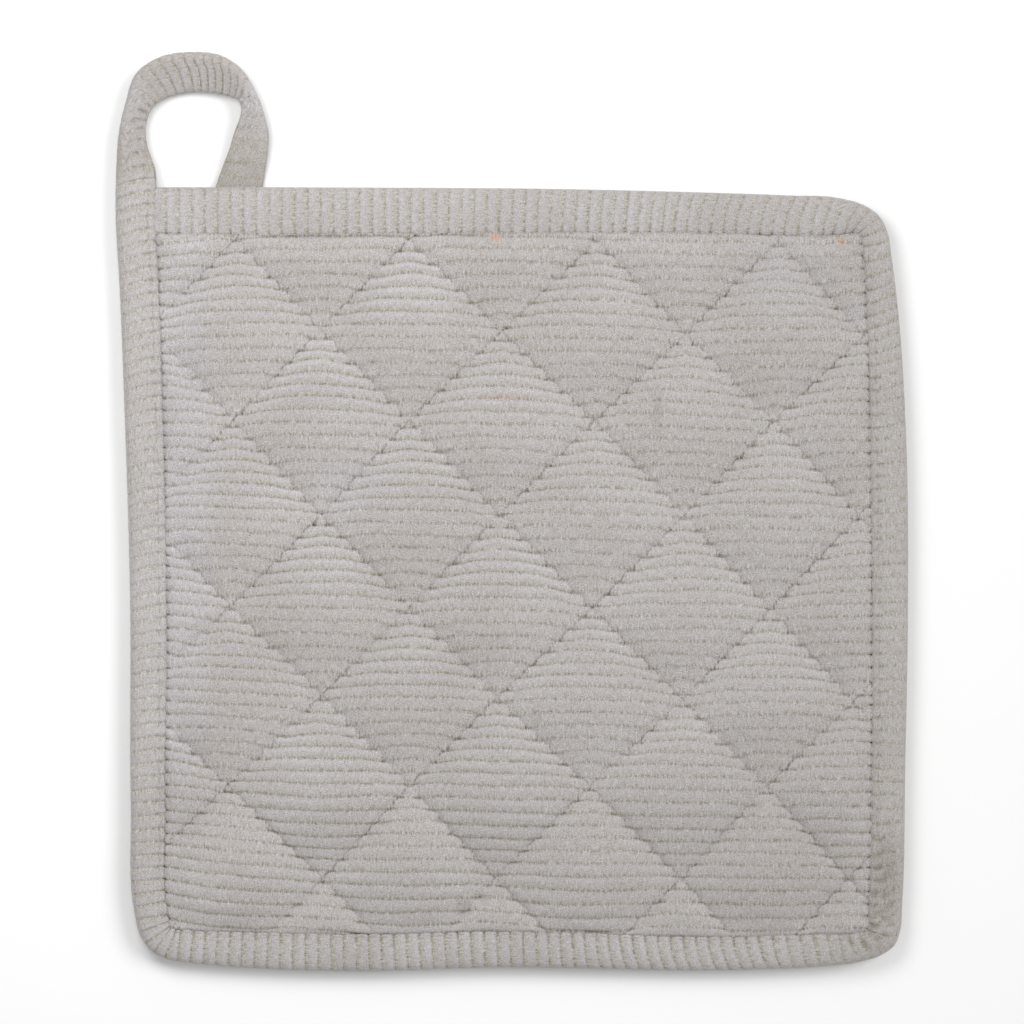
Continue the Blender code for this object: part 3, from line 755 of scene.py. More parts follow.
@dataclass(frozen=True)
class Corduroy:
    """The ribbed cloth's finish: pale pile, painted highlight on a cord's upper side, dark valleys.
    """

    name: str
    crest: Colour
    # painted shade: the colour of a cord's lower side
    shaded_underside: Colour
    # dark valleys, partly painted shade; also the colour of all painted shade, and of dark specks
    valley: Colour
    crushed: Colour
    rising_shade: float = 0.44  # painted shade where a rising seam holds the cloth down
    falling_shade: float = 0.31  # the same at a falling seam
    crease_depth: float = 0.5  # how deep a seam's crease looks in the pile
    notch_shade: float = 0.34  # painted shade in the valleys beside a seam
    valley_shade: float = 0.19  # how dark the valleys are where the pile stands up, partly painted shade
    softness: float = 0.17  # the same where the pile is crushed
    worn: float = 0.2  # how blotchy crushed pile looks
    grain: float = 1.5  # how much the fibres differ in tone

    def make(self) -> bpy.types.Material:
        """Builds the material.

        Returns:
            The material, whose pattern follows the mesh's own attributes.
        """
        tree = ClothTree(self.name)
        pile = PilePlace(tree)
        colour = self.creased(pile, self.ribbed(pile))
        colour = self.grained(pile, self.marked(pile, colour))
        height = pile.tufts * 0.5 + pile.fibres * 0.5
        height = height + pile.seam.rising(0.0, 0.7) * self.crease_depth
        return tree.finished(
            {
                "Base Color": colour,
                "Roughness": 0.92,
                "Specular IOR Level": 0.15,
                "Sheen Weight": 0.25,
                "Sheen Roughness": 0.5,
                "Normal": tree.bump(0.5, 0.25 * MM, height),
            }
        )

    def ribbed(self, pile: PilePlace) -> bpy.types.NodeSocket:
        """Colours the cords: painted highlight above, painted shade below, and dark valleys.

        Args:
            pile: what is read at each place.

        Returns:
            The colour.
        """
        tree, crisp = pile.tree, pile.crisp
        colour = tree.mix(crisp * 0.8 + 0.1, self.crushed, self.crest)
        # painted shade on each cord's lower side
        colour = tree.mix(pile.low * (crisp * 0.45 + 0.35), colour, self.shaded_underside)
        # painted highlight on each cord's upper side
        pale = tree.mix(0.5, self.crest, (1.0, 1.0, 1.02))
        shine = pile.lit * (crisp * 0.9 + 0.1) * pile.broad.rising(0.3, 0.7) * 0.16
        colour = tree.mix(shine, colour, pale)
        # the valleys: their own darker colour, with painted shade
        line = pile.from_crest.rising(0.80, 0.97) * (crisp * self.valley_shade + 0.03)
        line = line * (pile.dots * 1.5 + 0.15)
        soft = pile.from_crest.rising(0.50, 1.0) * (1 - crisp * 0.8) * self.softness
        soft = soft * (pile.dots * 1.2 + 0.1)
        return tree.mix(line + soft, colour, self.valley)

    def creased(self, pile: PilePlace, colour: bpy.types.NodeSocket) -> bpy.types.NodeSocket:
        """Paints shade into the seams' creases and the valleys beside them, and adds the mesh's
        shade.

        Args:
            pile: what is read at each place.
            colour: the colour so far.

        Returns:
            The colour with its painted shade.
        """
        tree = pile.tree
        broken = tree.noise(pile.place, 110.0, 1.0).rising(0.34, 0.60) * 0.75 + 0.25
        # painted shade in the creases, broken along them, and in the valleys beside the seams
        crease = pile.rising.size().rising(0.50, 0.10) * broken * self.rising_shade
        crease = crease + pile.falling.size().rising(0.55, 0.08) * self.falling_shade
        notch = pile.seam.rising(1.4, 0.2) * pile.from_crest.rising(0.60, 0.95)
        dark = crease * (pile.dots * 1.2 + 0.25) + notch * self.notch_shade
        # then the painted shade that the mesh's attribute gives
        return tree.mix(pile.shade, tree.mix(dark, colour, self.valley), self.valley)

    def marked(self, pile: PilePlace, colour: bpy.types.NodeSocket) -> bpy.types.NodeSocket:
        """Lays the marks and the patches of painted light and shade on the cloth, each with a
        ragged edge.

        Args:
            pile: what is read at each place.
            colour: the colour so far.

        Returns:
            The colour with its marks and painted patches.
        """
        tree = pile.tree
        x, y, _ = tree.parts(pile.place)
        ragged = tree.noise(tree.vector(x * 900, y * 900, 0.0), 1.0) * 1.6
        for spot in SPOTS:
            off_x = (x - spot.x * MM) / (spot.half_x * MM)
            off_y = (y - spot.y * MM) / (spot.half_y * MM)
            reach = off_x * off_x + off_y * off_y + ragged
            shows = reach.rising(2.2, 0.5) * spot.strength
            colour = tree.mix(shows, colour, pile_colour(*spot.colour))
        return colour

    def grained(self, pile: PilePlace, colour: bpy.types.NodeSocket) -> bpy.types.NodeSocket:
        """Gives the pile its grain, cooler where it is brighter, and dark specks.

        Args:
            pile: what is read at each place.
            colour: the colour so far.

        Returns:
            The colour with its grain.
        """
        tree = pile.tree
        tone = 1 + (pile.tufts - 0.5) * 0.36 + (pile.fibres - 0.5) * self.grain
        tone = tone + (pile.broad - 0.5) * 0.16
        tone = tone + (pile.ribs - 0.5) * (pile.low * 0.6 + 0.4)
        tone = tone + (pile.mottle - 0.5) * (1 - pile.crisp) * self.worn
        grey = tree.vector(tone - (tone - 1) * 0.08, tone, tone + (tone - 1) * 0.2)
        colour = tree.mix(1.0, colour, grey, "MULTIPLY")
        specks = pile.on_cloth(1.9, 1.9 * CORD_PITCH / MM, 1.0).rising(0.68, 0.78)
        return tree.mix(specks * 0.4, colour, self.valley)


class Cloth(Enum):
    """The cloths of the pot holder."""

    PAD = Corduroy(
        "panel_corduroy",
        crest=pile_colour(189, 184, 184),
        shaded_underside=pile_colour(185, 180, 169),
        valley=pile_colour(122, 110, 103),
        crushed=pile_colour(192, 187, 184),
    )
    STRIP = Corduroy(
        "binding_corduroy",
        crest=pile_colour(188, 183, 183),
        shaded_underside=pile_colour(183, 178, 166),
        valley=pile_colour(134, 124, 108),
        crushed=pile_colour(187, 182, 178),
        rising_shade=0.06,
        falling_shade=0.0,
        crease_depth=0.0,
        notch_shade=0.30,
        valley_shade=0.27,
        softness=0.10,
        worn=0.2,
        grain=1.35,
    )


@dataclass(frozen=True)
class Thread:
    """The finish of the sewing thread: matt, twisted, the colour of the cloth."""

    name: str = "sewing_thread"
    colour: Colour = pile_colour(186, 181, 176)

    def make(self) -> bpy.types.Material:
        """Builds the material.

        Returns:
            The material.
        """
        tree = ClothTree(self.name)
        twist = tree.noise(tree.place(), 2600.0)
        dark = tuple(c * 0.8 for c in self.colour)
        return tree.finished(
            {
                "Base Color": tree.mix(twist.rising(0.35, 0.7), dark, self.colour),
                "Roughness": 0.7,
                "Normal": tree.bump(0.4, 0.1 * MM, twist),
            }
        )


# ---- meshes -------------------------------------------------------------------------------


def make_piece(
    name: str, points: Array, faces: list, finish: bpy.types.Material, **fields: Array
) -> bpy.types.Object:
    """Adds a piece to the scene.

    Args:
        name: the piece's name.
        points: its points, in metres.
        faces: its faces, as tuples of point numbers.
        finish: its material.
        fields: mesh attributes, three numbers a point.

    Returns:
        The piece.
    """
    mesh = bpy.data.meshes.new(name)
    mesh.from_pydata(points.tolist(), [], faces)
    for field_name, rows in fields.items():
        made = mesh.attributes.new(field_name, "FLOAT_VECTOR", "POINT")
        made.data.foreach_set("vector", np.asarray(rows, np.float32).ravel())
    mesh.shade_smooth()
    mesh.materials.append(finish)
    piece = bpy.data.objects.new(name, mesh)
    bpy.context.scene.collection.objects.link(piece)
    return piece


def grid_faces(first: int, rows: int, columns: int, turned: bool = False) -> list:
    """Lists the quads of a grid of points.

    Args:
        first: the first point's number.
        rows: how many rows of points.
        columns: how many points to a row.
        turned: whether the quads face the other way.

    Returns:
        The quads.
    """
    number = first + np.arange(rows * columns).reshape(rows, columns)
    quads = np.stack(
        [number[:-1, :-1], number[1:, :-1], number[1:, 1:], number[:-1, 1:]], axis=-1
    ).reshape(-1, 4)
    return (quads[:, ::-1] if turned else quads).tolist()


def with_neighbours(table: Sequence[Sequence[float]]) -> Array:
    """Gives a table in metres with one more row at either end, at the same spacing."""
    rows = np.asarray(table, float) * MM
    return np.vstack([2 * rows[:1] - rows[1:2], rows, 2 * rows[-1:] - rows[-2:-1]])


def raised(surface: Array, height: Array) -> Array:
    """Moves a grid of points out along the normals of its surface.

    Args:
        surface: the points, row by row.
        height: how far each one moves, in metres.

    Returns:
        The moved points.
    """
    outward = np.cross(np.gradient(surface, axis=0), np.gradient(surface, axis=1))
    length = np.linalg.norm(outward, axis=-1, keepdims=True)
    outward = outward / np.where(length > 0, length, 1)
    return surface + outward * height[..., None]


def over_tuck(x: Array, y: Array, left: float, right: float) -> Array:
    """Gives how far the cloth rises over the loop's tucked end.

    Args:
        x: the points' x.
        y: the points' y.
        left: x at which it begins to rise, in millimetres.
        right: x at which it lies flat again, in millimetres.

    Returns:
        The rises, in metres.
    """
    sideways = smooth_step((x / MM - left) / TUCK_SLOPE)
    sideways = sideways * smooth_step((right - x / MM) / TUCK_SLOPE)
    return TUCK_LIFT * sideways * smooth_step((y / MM - TUCK_FOOT) / TUCK_SLOPE)


@dataclass(frozen=True)
class Quilting:
    """The diamonds of the quilting, between two families of slanting seams."""

    top: float = 69.4 * MM  # y of the first row of crossings, where the columns' tops are given
    bottom: float = -93.8 * MM  # y of the last row
    left: float = -88.5 * MM  # x at which the rows' left heights are given
    right: float = 90.0 * MM  # x at which their right heights are given
    seam_spacing: float = 33.3 * MM  # from a seam to the next one that runs the same way
    column_width: float = 23.8 * MM  # from a column of crossings to the next
    fullness: float = 0.64  # the less, the flatter the diamonds and the steeper their sides
    step_falling: float = 1.0  # how far the cords' ends step over a seam that falls rightwards
    step_rising: float = 0.8  # the same over a seam that rises rightwards
    step_reach: float = 5.0 * MM  # how far from a seam the steps fade
    droop: float = 1.05 * MM  # how far the cords' ends bend down to a seam
    droop_reach: float = 3.2 * MM  # how far below a seam the bend fades
    droop_past: float = 2.2 * MM  # how far above a seam the bend fades

    def lattice(self, x: Array, y: Array) -> tuple[Array, Array]:
        """Finds points among the stitch crossings.

        Args:
            x: the points' x.
            y: the points' y.

        Returns:
            Each point's column and row of crossings.
        """
        columns, rows = with_neighbours(QUILT_COLUMNS), with_neighbours(QUILT_ROWS)
        number = np.arange(len(columns)) - 1.0
        down = (self.top - y) / (self.top - self.bottom)
        across = (x - self.left) / (self.right - self.left)
        column = (1 - down) * np.interp(x, columns[:, 0], number)
        column = column + down * np.interp(x, columns[:, 1], number)
        row = (1 - across) * np.interp(-y, -rows[:, 0], number)
        row = row + across * np.interp(-y, -rows[:, 1], number)
        return column, row

    def place(self, column: Array, row: Array) -> tuple[Array, Array]:
        """Finds the points at columns and rows of stitch crossings.

        Args:
            column: the columns, where the first one is 0.
            row: the rows, where the first one is 0.

        Returns:
            The points' x and y.
        """
        columns, rows = with_neighbours(QUILT_COLUMNS), with_neighbours(QUILT_ROWS)
        number = np.arange(len(columns)) - 1.0
        x = np.interp(column, number, columns[:, 0])
        for _ in range(4):
            across = (x - self.left) / (self.right - self.left)
            y = (1 - across) * np.interp(row, number, rows[:, 0])
            y = y + across * np.interp(row, number, rows[:, 1])
            down = (self.top - y) / (self.top - self.bottom)
            x = (1 - down) * np.interp(column, number, columns[:, 0])
            x = x + down * np.interp(column, number, columns[:, 1])
        return x, y

    def seams(self, x: Array, y: Array) -> tuple[Array, Array]:
        """Gives two counts, whole on the seams that rise and that fall rightwards."""
        column, row = self.lattice(x, y)
        return (column + row) / 2, (column - row) / 2

    def puff(self, rising: Array, falling: Array) -> Array:
        """Gives 0 on the seams, rising to 1 at the middle of a diamond."""
        waves = np.abs(np.sin(math.pi * rising) * np.sin(math.pi * falling))
        return waves**self.fullness

    def within(self, rising: Array, falling: Array) -> tuple[Array, Array]:
        """Gives how far places are from the seams of their own diamond.

        Args:
            rising: count of the seams that rise rightwards.
            falling: count of the seams that fall rightwards.

        Returns:
            The distances to the diamond's upper seams, and to its lower ones.
        """
        rising, falling = rising % 1.0, falling % 1.0
        upper = np.minimum(rising, 1 - falling) * self.seam_spacing
        lower = np.minimum(1 - rising, falling) * self.seam_spacing
        return upper, lower

    def drooping(self, x: Array, y: Array) -> Array:
        """Gives how far the cords' ends bend down beside the seams.

        Args:
            x: the points' x.
            y: the points' y.

        Returns:
            The distances, in metres.
        """
        upper, lower = self.within(*self.seams(x, y))
        near = np.exp(-((upper / self.droop_reach) ** 1.5))
        past = np.exp(-((lower / self.droop_past) ** 1.5))
        return self.droop * np.maximum(near * smooth_step(lower / (4 * MM)), past)

    def stepped(self, rising: Array, falling: Array, phase: Array) -> tuple[Array, Array]:
        """Moves the seams' creases so that the end of every cord stands over them.

        Args:
            rising: count of the seams that rise rightwards.
            falling: count of the seams that fall rightwards.
            phase: place across a cord, from its upper valley to its lower one.

        Returns:
            Both counts, moved.
        """
        f = phase % 1.0
        tooth = np.sqrt(1 - (1 - f) ** 2) - f - 0.2
        step = tooth * CORD_PITCH / (2 * self.column_width)
        near_rising = np.abs(rising - np.round(rising)) * self.seam_spacing
        near_falling = np.abs(falling - np.round(falling)) * self.seam_spacing
        moved_rising = self.step_rising * step * np.exp(-((near_rising / self.step_reach) ** 2))
        moved_falling = self.step_falling * step * np.exp(-((near_falling / self.step_reach) ** 2))
        return rising + moved_rising, falling - moved_falling


@dataclass(frozen=True)
class PadGrid:
    """What the pad's face is at each of its points, in rows along the cords."""

    rest_x: Array  # x before the points are drawn in under the binding
    cords: Array  # place across the cords, whole in a valley
    x: Array
    y: Array
    inside: Array  # how far inside the binding's inner edge
    rising: Array  # count of the seams that rise rightwards
    falling: Array  # count of the seams that fall rightwards
    puff: Array  # 0 on the seams and 1 at the middle of a diamond


@dataclass(frozen=True)
class QuiltedPad:
    """The pad: corduroy face, filling and back, held down along the quilting's seams."""

    edge: OuterEdge
    quilting: Quilting
    sewn: float = 5.2 * MM  # height of the face at the seams
    crown: float = 8.2 * MM  # height of the face at the middle of a diamond
    cord_relief: float = 0.16 * MM  # height of a crisp cord above and below the face
    edge_bulge: float = 1.25 * MM  # how far the face stands up against the binding's fold
    inset: float = 3.1 * MM  # how far inside the outer edge the pad's own edge is
    edge_floor: float = 1.9 * MM  # height of the back cloth at that edge
    bow: float = 0.30 * MM  # how far the cords spread from the middle of a diamond
    bow_probe: float = 4.0 * MM  # how far above and below a cord the filling spreads it
    bottom_bow: float = 1.3 * MM  # how much more the cords sag between the seams near the bottom
    turn_from: float = -60 * MM  # y below which the pile begins to lie the other way
    turn_reach: float = 24 * MM  # how far below that it lies so fully
    slope: float = 1.9 * MM  # how much lower the cords lie at the right
    draw_top: float = -2.0 * MM  # how far up the top cords bend towards the left side
    draw_bottom: float = 3.8 * MM  # how far up the bottom cords bend towards it
    draw_reach: float = 22.0 * MM  # how far from the left side these bends fade
    cord_range: tuple[int, int] = (-2, 57)  # valleys at which the cords begin and end
    column_range: tuple[float, float] = (-91.5 * MM, 92.4 * MM)  # x of the narrow columns
    column_step: float = 0.76 * MM  # from one of the mesh's columns to the next
    back_every: tuple[int, int] = (6, 4)  # which of the face's rows and columns the back has

    def levels(self) -> Array:
        """Lists the heights of the mesh's rows, were the cords level.

        Returns:
            The heights, from the top, with a few more beyond the cords at either end.
        """
        first, last = self.cord_range
        fine = [k + phase for k in range(first, last) for phase in CORD_PHASES] + [last]
        levels = FIRST_VALLEY - np.array(fine, float) * CORD_PITCH
        beyond = np.array([2.0, 6.0, 16.0]) * MM
        return np.concatenate([levels[0] + beyond[::-1], levels, levels[-1] - beyond])

    def columns(self) -> Array:
        """Lists the x of the mesh's columns.

        Returns:
            The x, from the left, with a few more beyond the narrow columns at either end.
        """
        fine = np.arange(*self.column_range, self.column_step)
        beyond = np.array([1.2, 3.0, 6.0, 11.0, 22.0]) * MM
        return np.concatenate([fine[0] - beyond[::-1], fine, fine[-1] + beyond])

    def turned_over(self, y: Array) -> Array:
        """Gives where the pile lies the other way: 1 near the bottom and 0 above."""
        return smooth_step((self.turn_from - y) / self.turn_reach)

    def cord_lines(self, x: Array, level: Array) -> Array:
        """Bends the cords as the seams, the filling and the binding do.

        Args:
            x: the points' x.
            level: the points' y, were the cords level.

        Returns:
            The points' y.
        """
        down = (self.quilting.top - level) / (self.quilting.top - self.quilting.bottom)
        pull = self.draw_top + (self.draw_bottom - self.draw_top) * down
        y = level + pull * np.exp(-(x - self.quilting.left) / self.draw_reach)
        above = self.quilting.puff(*self.quilting.seams(x, y + self.bow_probe))
        below = self.quilting.puff(*self.quilting.seams(x, y - self.bow_probe))
        turned = self.turned_over(level)
        bowed = above**2 - below**2
        y = y - self.bow * (1 + 0.35 * Wander(35, 45 * MM).at(x, level)) * bowed
        y = y - self.bottom_bow * turned * np.maximum(bowed, 0)
        y = y - self.slope * smooth_step((x + 60 * MM) / (140 * MM))
        y = y - self.quilting.drooping(x, y) * (1 - 0.75 * turned)
        y = y + 0.5 * MM * Wander(31, 55 * MM).at(x, level)
        return y + 0.16 * MM * Wander(11, 16 * MM).at(x, level * 2.2)

    def settled(self, x: Array, y: Array) -> tuple[Array, Array, Array]:
        """Draws what lies beyond the binding's inner edge in to the pad's own edge.

        Args:
            x: the points' x.
            y: the points' y.

        Returns:
            x and y as drawn in, and how far inside the binding's inner edge each point is.
        """
        from_edge, nearest = self.edge.nearest(x, y)
        width = nearest[..., 2]
        inside = from_edge - width
        room = width - self.inset
        hidden = inside < 0
        drawn = width - room * (1 - np.exp(np.minimum(inside, 0) / room))
        x = np.where(hidden, nearest[..., 0] + nearest[..., 3] * drawn, x)
        y = np.where(hidden, nearest[..., 1] + nearest[..., 4] * drawn, y)
        return x, y, np.where(hidden, drawn - width, inside)

    def grid(self) -> PadGrid:
        """Lays out the face as it is seen from above.

        Returns:
            The face's points, with what its heights and its finish depend on.
        """
        level, rest_x = np.meshgrid(self.levels(), self.columns(), indexing="ij")
        cords = (FIRST_VALLEY - level) / CORD_PITCH
        x, y, inside = self.settled(rest_x, self.cord_lines(rest_x, level))
        rising, falling = self.quilting.stepped(*self.quilting.seams(x, y), cords)
        puff = self.quilting.puff(rising, falling) * (1 + 0.07 * Wander(5, 30 * MM).at(x, y))
        return PadGrid(rest_x, cords, x, y, inside, rising, falling, puff)

    def crispness(self, grid: PadGrid) -> tuple[Array, Array]:
        """Gives how upright the pile stands.

        Args:
            grid: the face's points.

        Returns:
            How upright it stands, and the most that it can at this place on the pad.
        """
        turned = self.turned_over(grid.y)
        high = ((grid.falling % 1.0) - (grid.rising % 1.0)) * (1 - 2 * turned)
        fading = 1 - (0.6 - 0.25 * turned) * smooth_step((grid.x + 30 * MM) / (80 * MM))
        fading = np.clip(fading + 0.15 * Wander(33, 45 * MM).at(grid.x, grid.y), 0, 1)
        crisp = smooth_step((high + 0.12 + 0.2 * turned) / 0.4) * fading
        crisp = np.maximum(crisp, 0.8 * smooth_step((-74 * MM - grid.x) / (8 * MM)))
        return crisp, fading

    def face_height(self, grid: PadGrid) -> Array:
        """Gives the height of the face under its cords.

        Args:
            grid: the face's points.

        Returns:
            The heights: crowned diamonds, a bulge along the binding, and creases at the seams.
        """
        inside = grid.inside
        ramp = 0.2 * smooth_step(inside / (1.8 * MM)) + 0.8 * smooth_step(inside / (7 * MM))
        z = self.sewn + (self.crown - self.sewn) * grid.puff * ramp
        gap = 0.8 * MM * smooth_step(0.6 - 0.6 * cord_shape(grid.cords))
        bulge = smooth_step((inside - gap + 0.9 * MM) / (0.9 * MM))
        bulge = bulge * np.exp(-((inside / (5 * MM)) ** 2))
        z = z + self.edge_bulge * bulge
        seam = np.minimum(*self.quilting.within(grid.rising, grid.falling))
        return z - 0.2 * MM * np.exp(-((seam / (0.55 * MM)) ** 2)) * smooth_step(inside / MM)

    def face(self, grid: PadGrid, crisp: Array, fading: Array) -> Array:
        """Shapes the face, cords and all.

        Args:
            grid: the face's points.
            crisp: how upright the pile stands.
            fading: the most that it can at this place on the pad.

        Returns:
            The points.
        """
        shows = smooth_step((grid.inside + 0.6 * MM) / (1.0 * MM))
        uneven = 1 + 0.2 * Wander(8, 14 * MM).at(grid.x, grid.y)
        strength = (0.2 + 0.35 * fading + 0.45 * crisp) * uneven
        relief = self.cord_relief * cord_shape(grid.cords) * shows * strength
        return raised(np.stack([grid.x, grid.y, self.face_height(grid)], axis=-1), relief)

    def attributes(self, grid: PadGrid, crisp: Array) -> tuple[Array, Array]:
        """Gives what the finish reads on the face.

        Args:
            grid: the face's points.
            crisp: how upright the pile stands.

        Returns:
            The cloth and pile attributes.
        """
        # painted shade: along the binding's inner edge, and over each diamond, more on its lower
        # half
        painted_edge_shade = 0.02 * smooth_step(1 - grid.inside / (0.7 * MM))
        away = np.clip((grid.rising % 1.0) - (grid.falling % 1.0), 0, 1)
        painted_diamond_shade = grid.puff * (0.045 + 0.14 * away)
        wave = self.quilting.seam_spacing / math.pi / MM
        off_rising = wave * np.sin(math.pi * grid.rising)
        off_falling = np.abs(wave * np.sin(math.pi * grid.falling))
        off_falling = np.minimum(off_falling, np.abs(grid.inside) / MM)
        cloth = np.stack([grid.rest_x / MM, grid.cords, painted_edge_shade + painted_diamond_shade], axis=-1)
        return cloth, np.stack([crisp, off_rising, off_falling], axis=-1)

    def make(self) -> bpy.types.Object:
        """Builds the pad.

        Returns:
            The piece, closed and padded.
        """
        grid = self.grid()
        crisp, fading = self.crispness(grid)
        face = self.face(grid, crisp, fading)
        cloth, pile = self.attributes(grid, crisp)
        kept_rows, kept_columns = (
            sorted({*range(0, size, every), size - 1})
            for size, every in zip(grid.x.shape, self.back_every)
        )
        pick = np.ix_(kept_rows, kept_columns)
        x, y = grid.x[pick], grid.y[pick]
        back = np.stack([x, y, self.back_height(x, y, grid.inside[pick])], axis=-1)
        plain_cloth = cloth[pick] * (1, 1, 0)
        plain_pile = pile[pick] * (0, 1, 1) + (0.4, 0, 0)
        points, cloth, pile = (
            np.concatenate([front.reshape(-1, 3), behind.reshape(-1, 3)])
            for front, behind in ((face, back), (cloth, plain_cloth), (pile, plain_pile))
        )
        faces = grid_faces(0, *grid.x.shape)
        faces += grid_faces(grid.x.size, *x.shape, turned=True)
        faces += self.rim(grid.x.shape, kept_rows, kept_columns)
        finish = Cloth.PAD.value.make()
        return make_piece("quilted_pad_cloth", points, faces, finish, cloth=cloth, pile=pile)

    def back_height(self, x: Array, y: Array, inside: Array) -> Array:
        """Gives the height of the back cloth, which lies on the surface between its seams.

        Args:
            x: the points' x.
            y: the points' y.
            inside: how far inside the binding's inner edge they are.

        Returns:
            The heights.
        """
        settle = smooth_step((inside - 0.3 * MM) / (8 * MM))
        dent = 1.0 * MM * (1 - self.quilting.puff(*self.quilting.seams(x, y))) ** 3
        edge = self.edge_floor + over_tuck(x, y, left=-94, right=-46.5)
        return edge * (1 - settle) + dent * settle

    def rim(self, size: tuple[int, int], kept_rows: list[int], kept_columns: list[int]) -> list:
        """Closes the pad's edge between its face and its coarser back.

        Args:
            size: rows and columns of the face.
            kept_rows: the face's rows that the back has.
            kept_columns: the face's columns that the back has.

        Returns:
            The triangles.
        """
        rows, columns = size
        across = len(kept_columns)
        total = rows * columns

        def loop(row_list: list[int], column_list: list[int]) -> list[tuple[int, int]]:
            """Walks round a grid's border.

            Args:
                row_list: the grid's rows.
                column_list: the grid's columns.

            Returns:
                The pairs of row and column that it meets.
            """
            first, last = row_list[0], row_list[-1]
            left, right = column_list[0], column_list[-1]
            walk = [(row, left) for row in row_list[:-1]]
            walk += [(last, column) for column in column_list[:-1]]
            walk += [(row, right) for row in row_list[:0:-1]]
            return walk + [(first, column) for column in column_list[:0:-1]]

        outer = loop(list(range(rows)), list(range(columns)))
        inner = loop(kept_rows, kept_columns)
        spot = {place: i for i, place in enumerate(inner)}
        numbers = [
            total + kept_rows.index(row) * across + kept_columns.index(column)
            for row, column in inner
        ]
        faces, current = [], 0
        for i, (row, column) in enumerate(outer):
            following = outer[(i + 1) % len(outer)]
            a, b = row * columns + column, following[0] * columns + following[1]
            faces.append((b, a, numbers[current]))
            if following in spot:
                faces.append((b, numbers[current], numbers[spot[following]]))
                current = spot[following]
        return faces


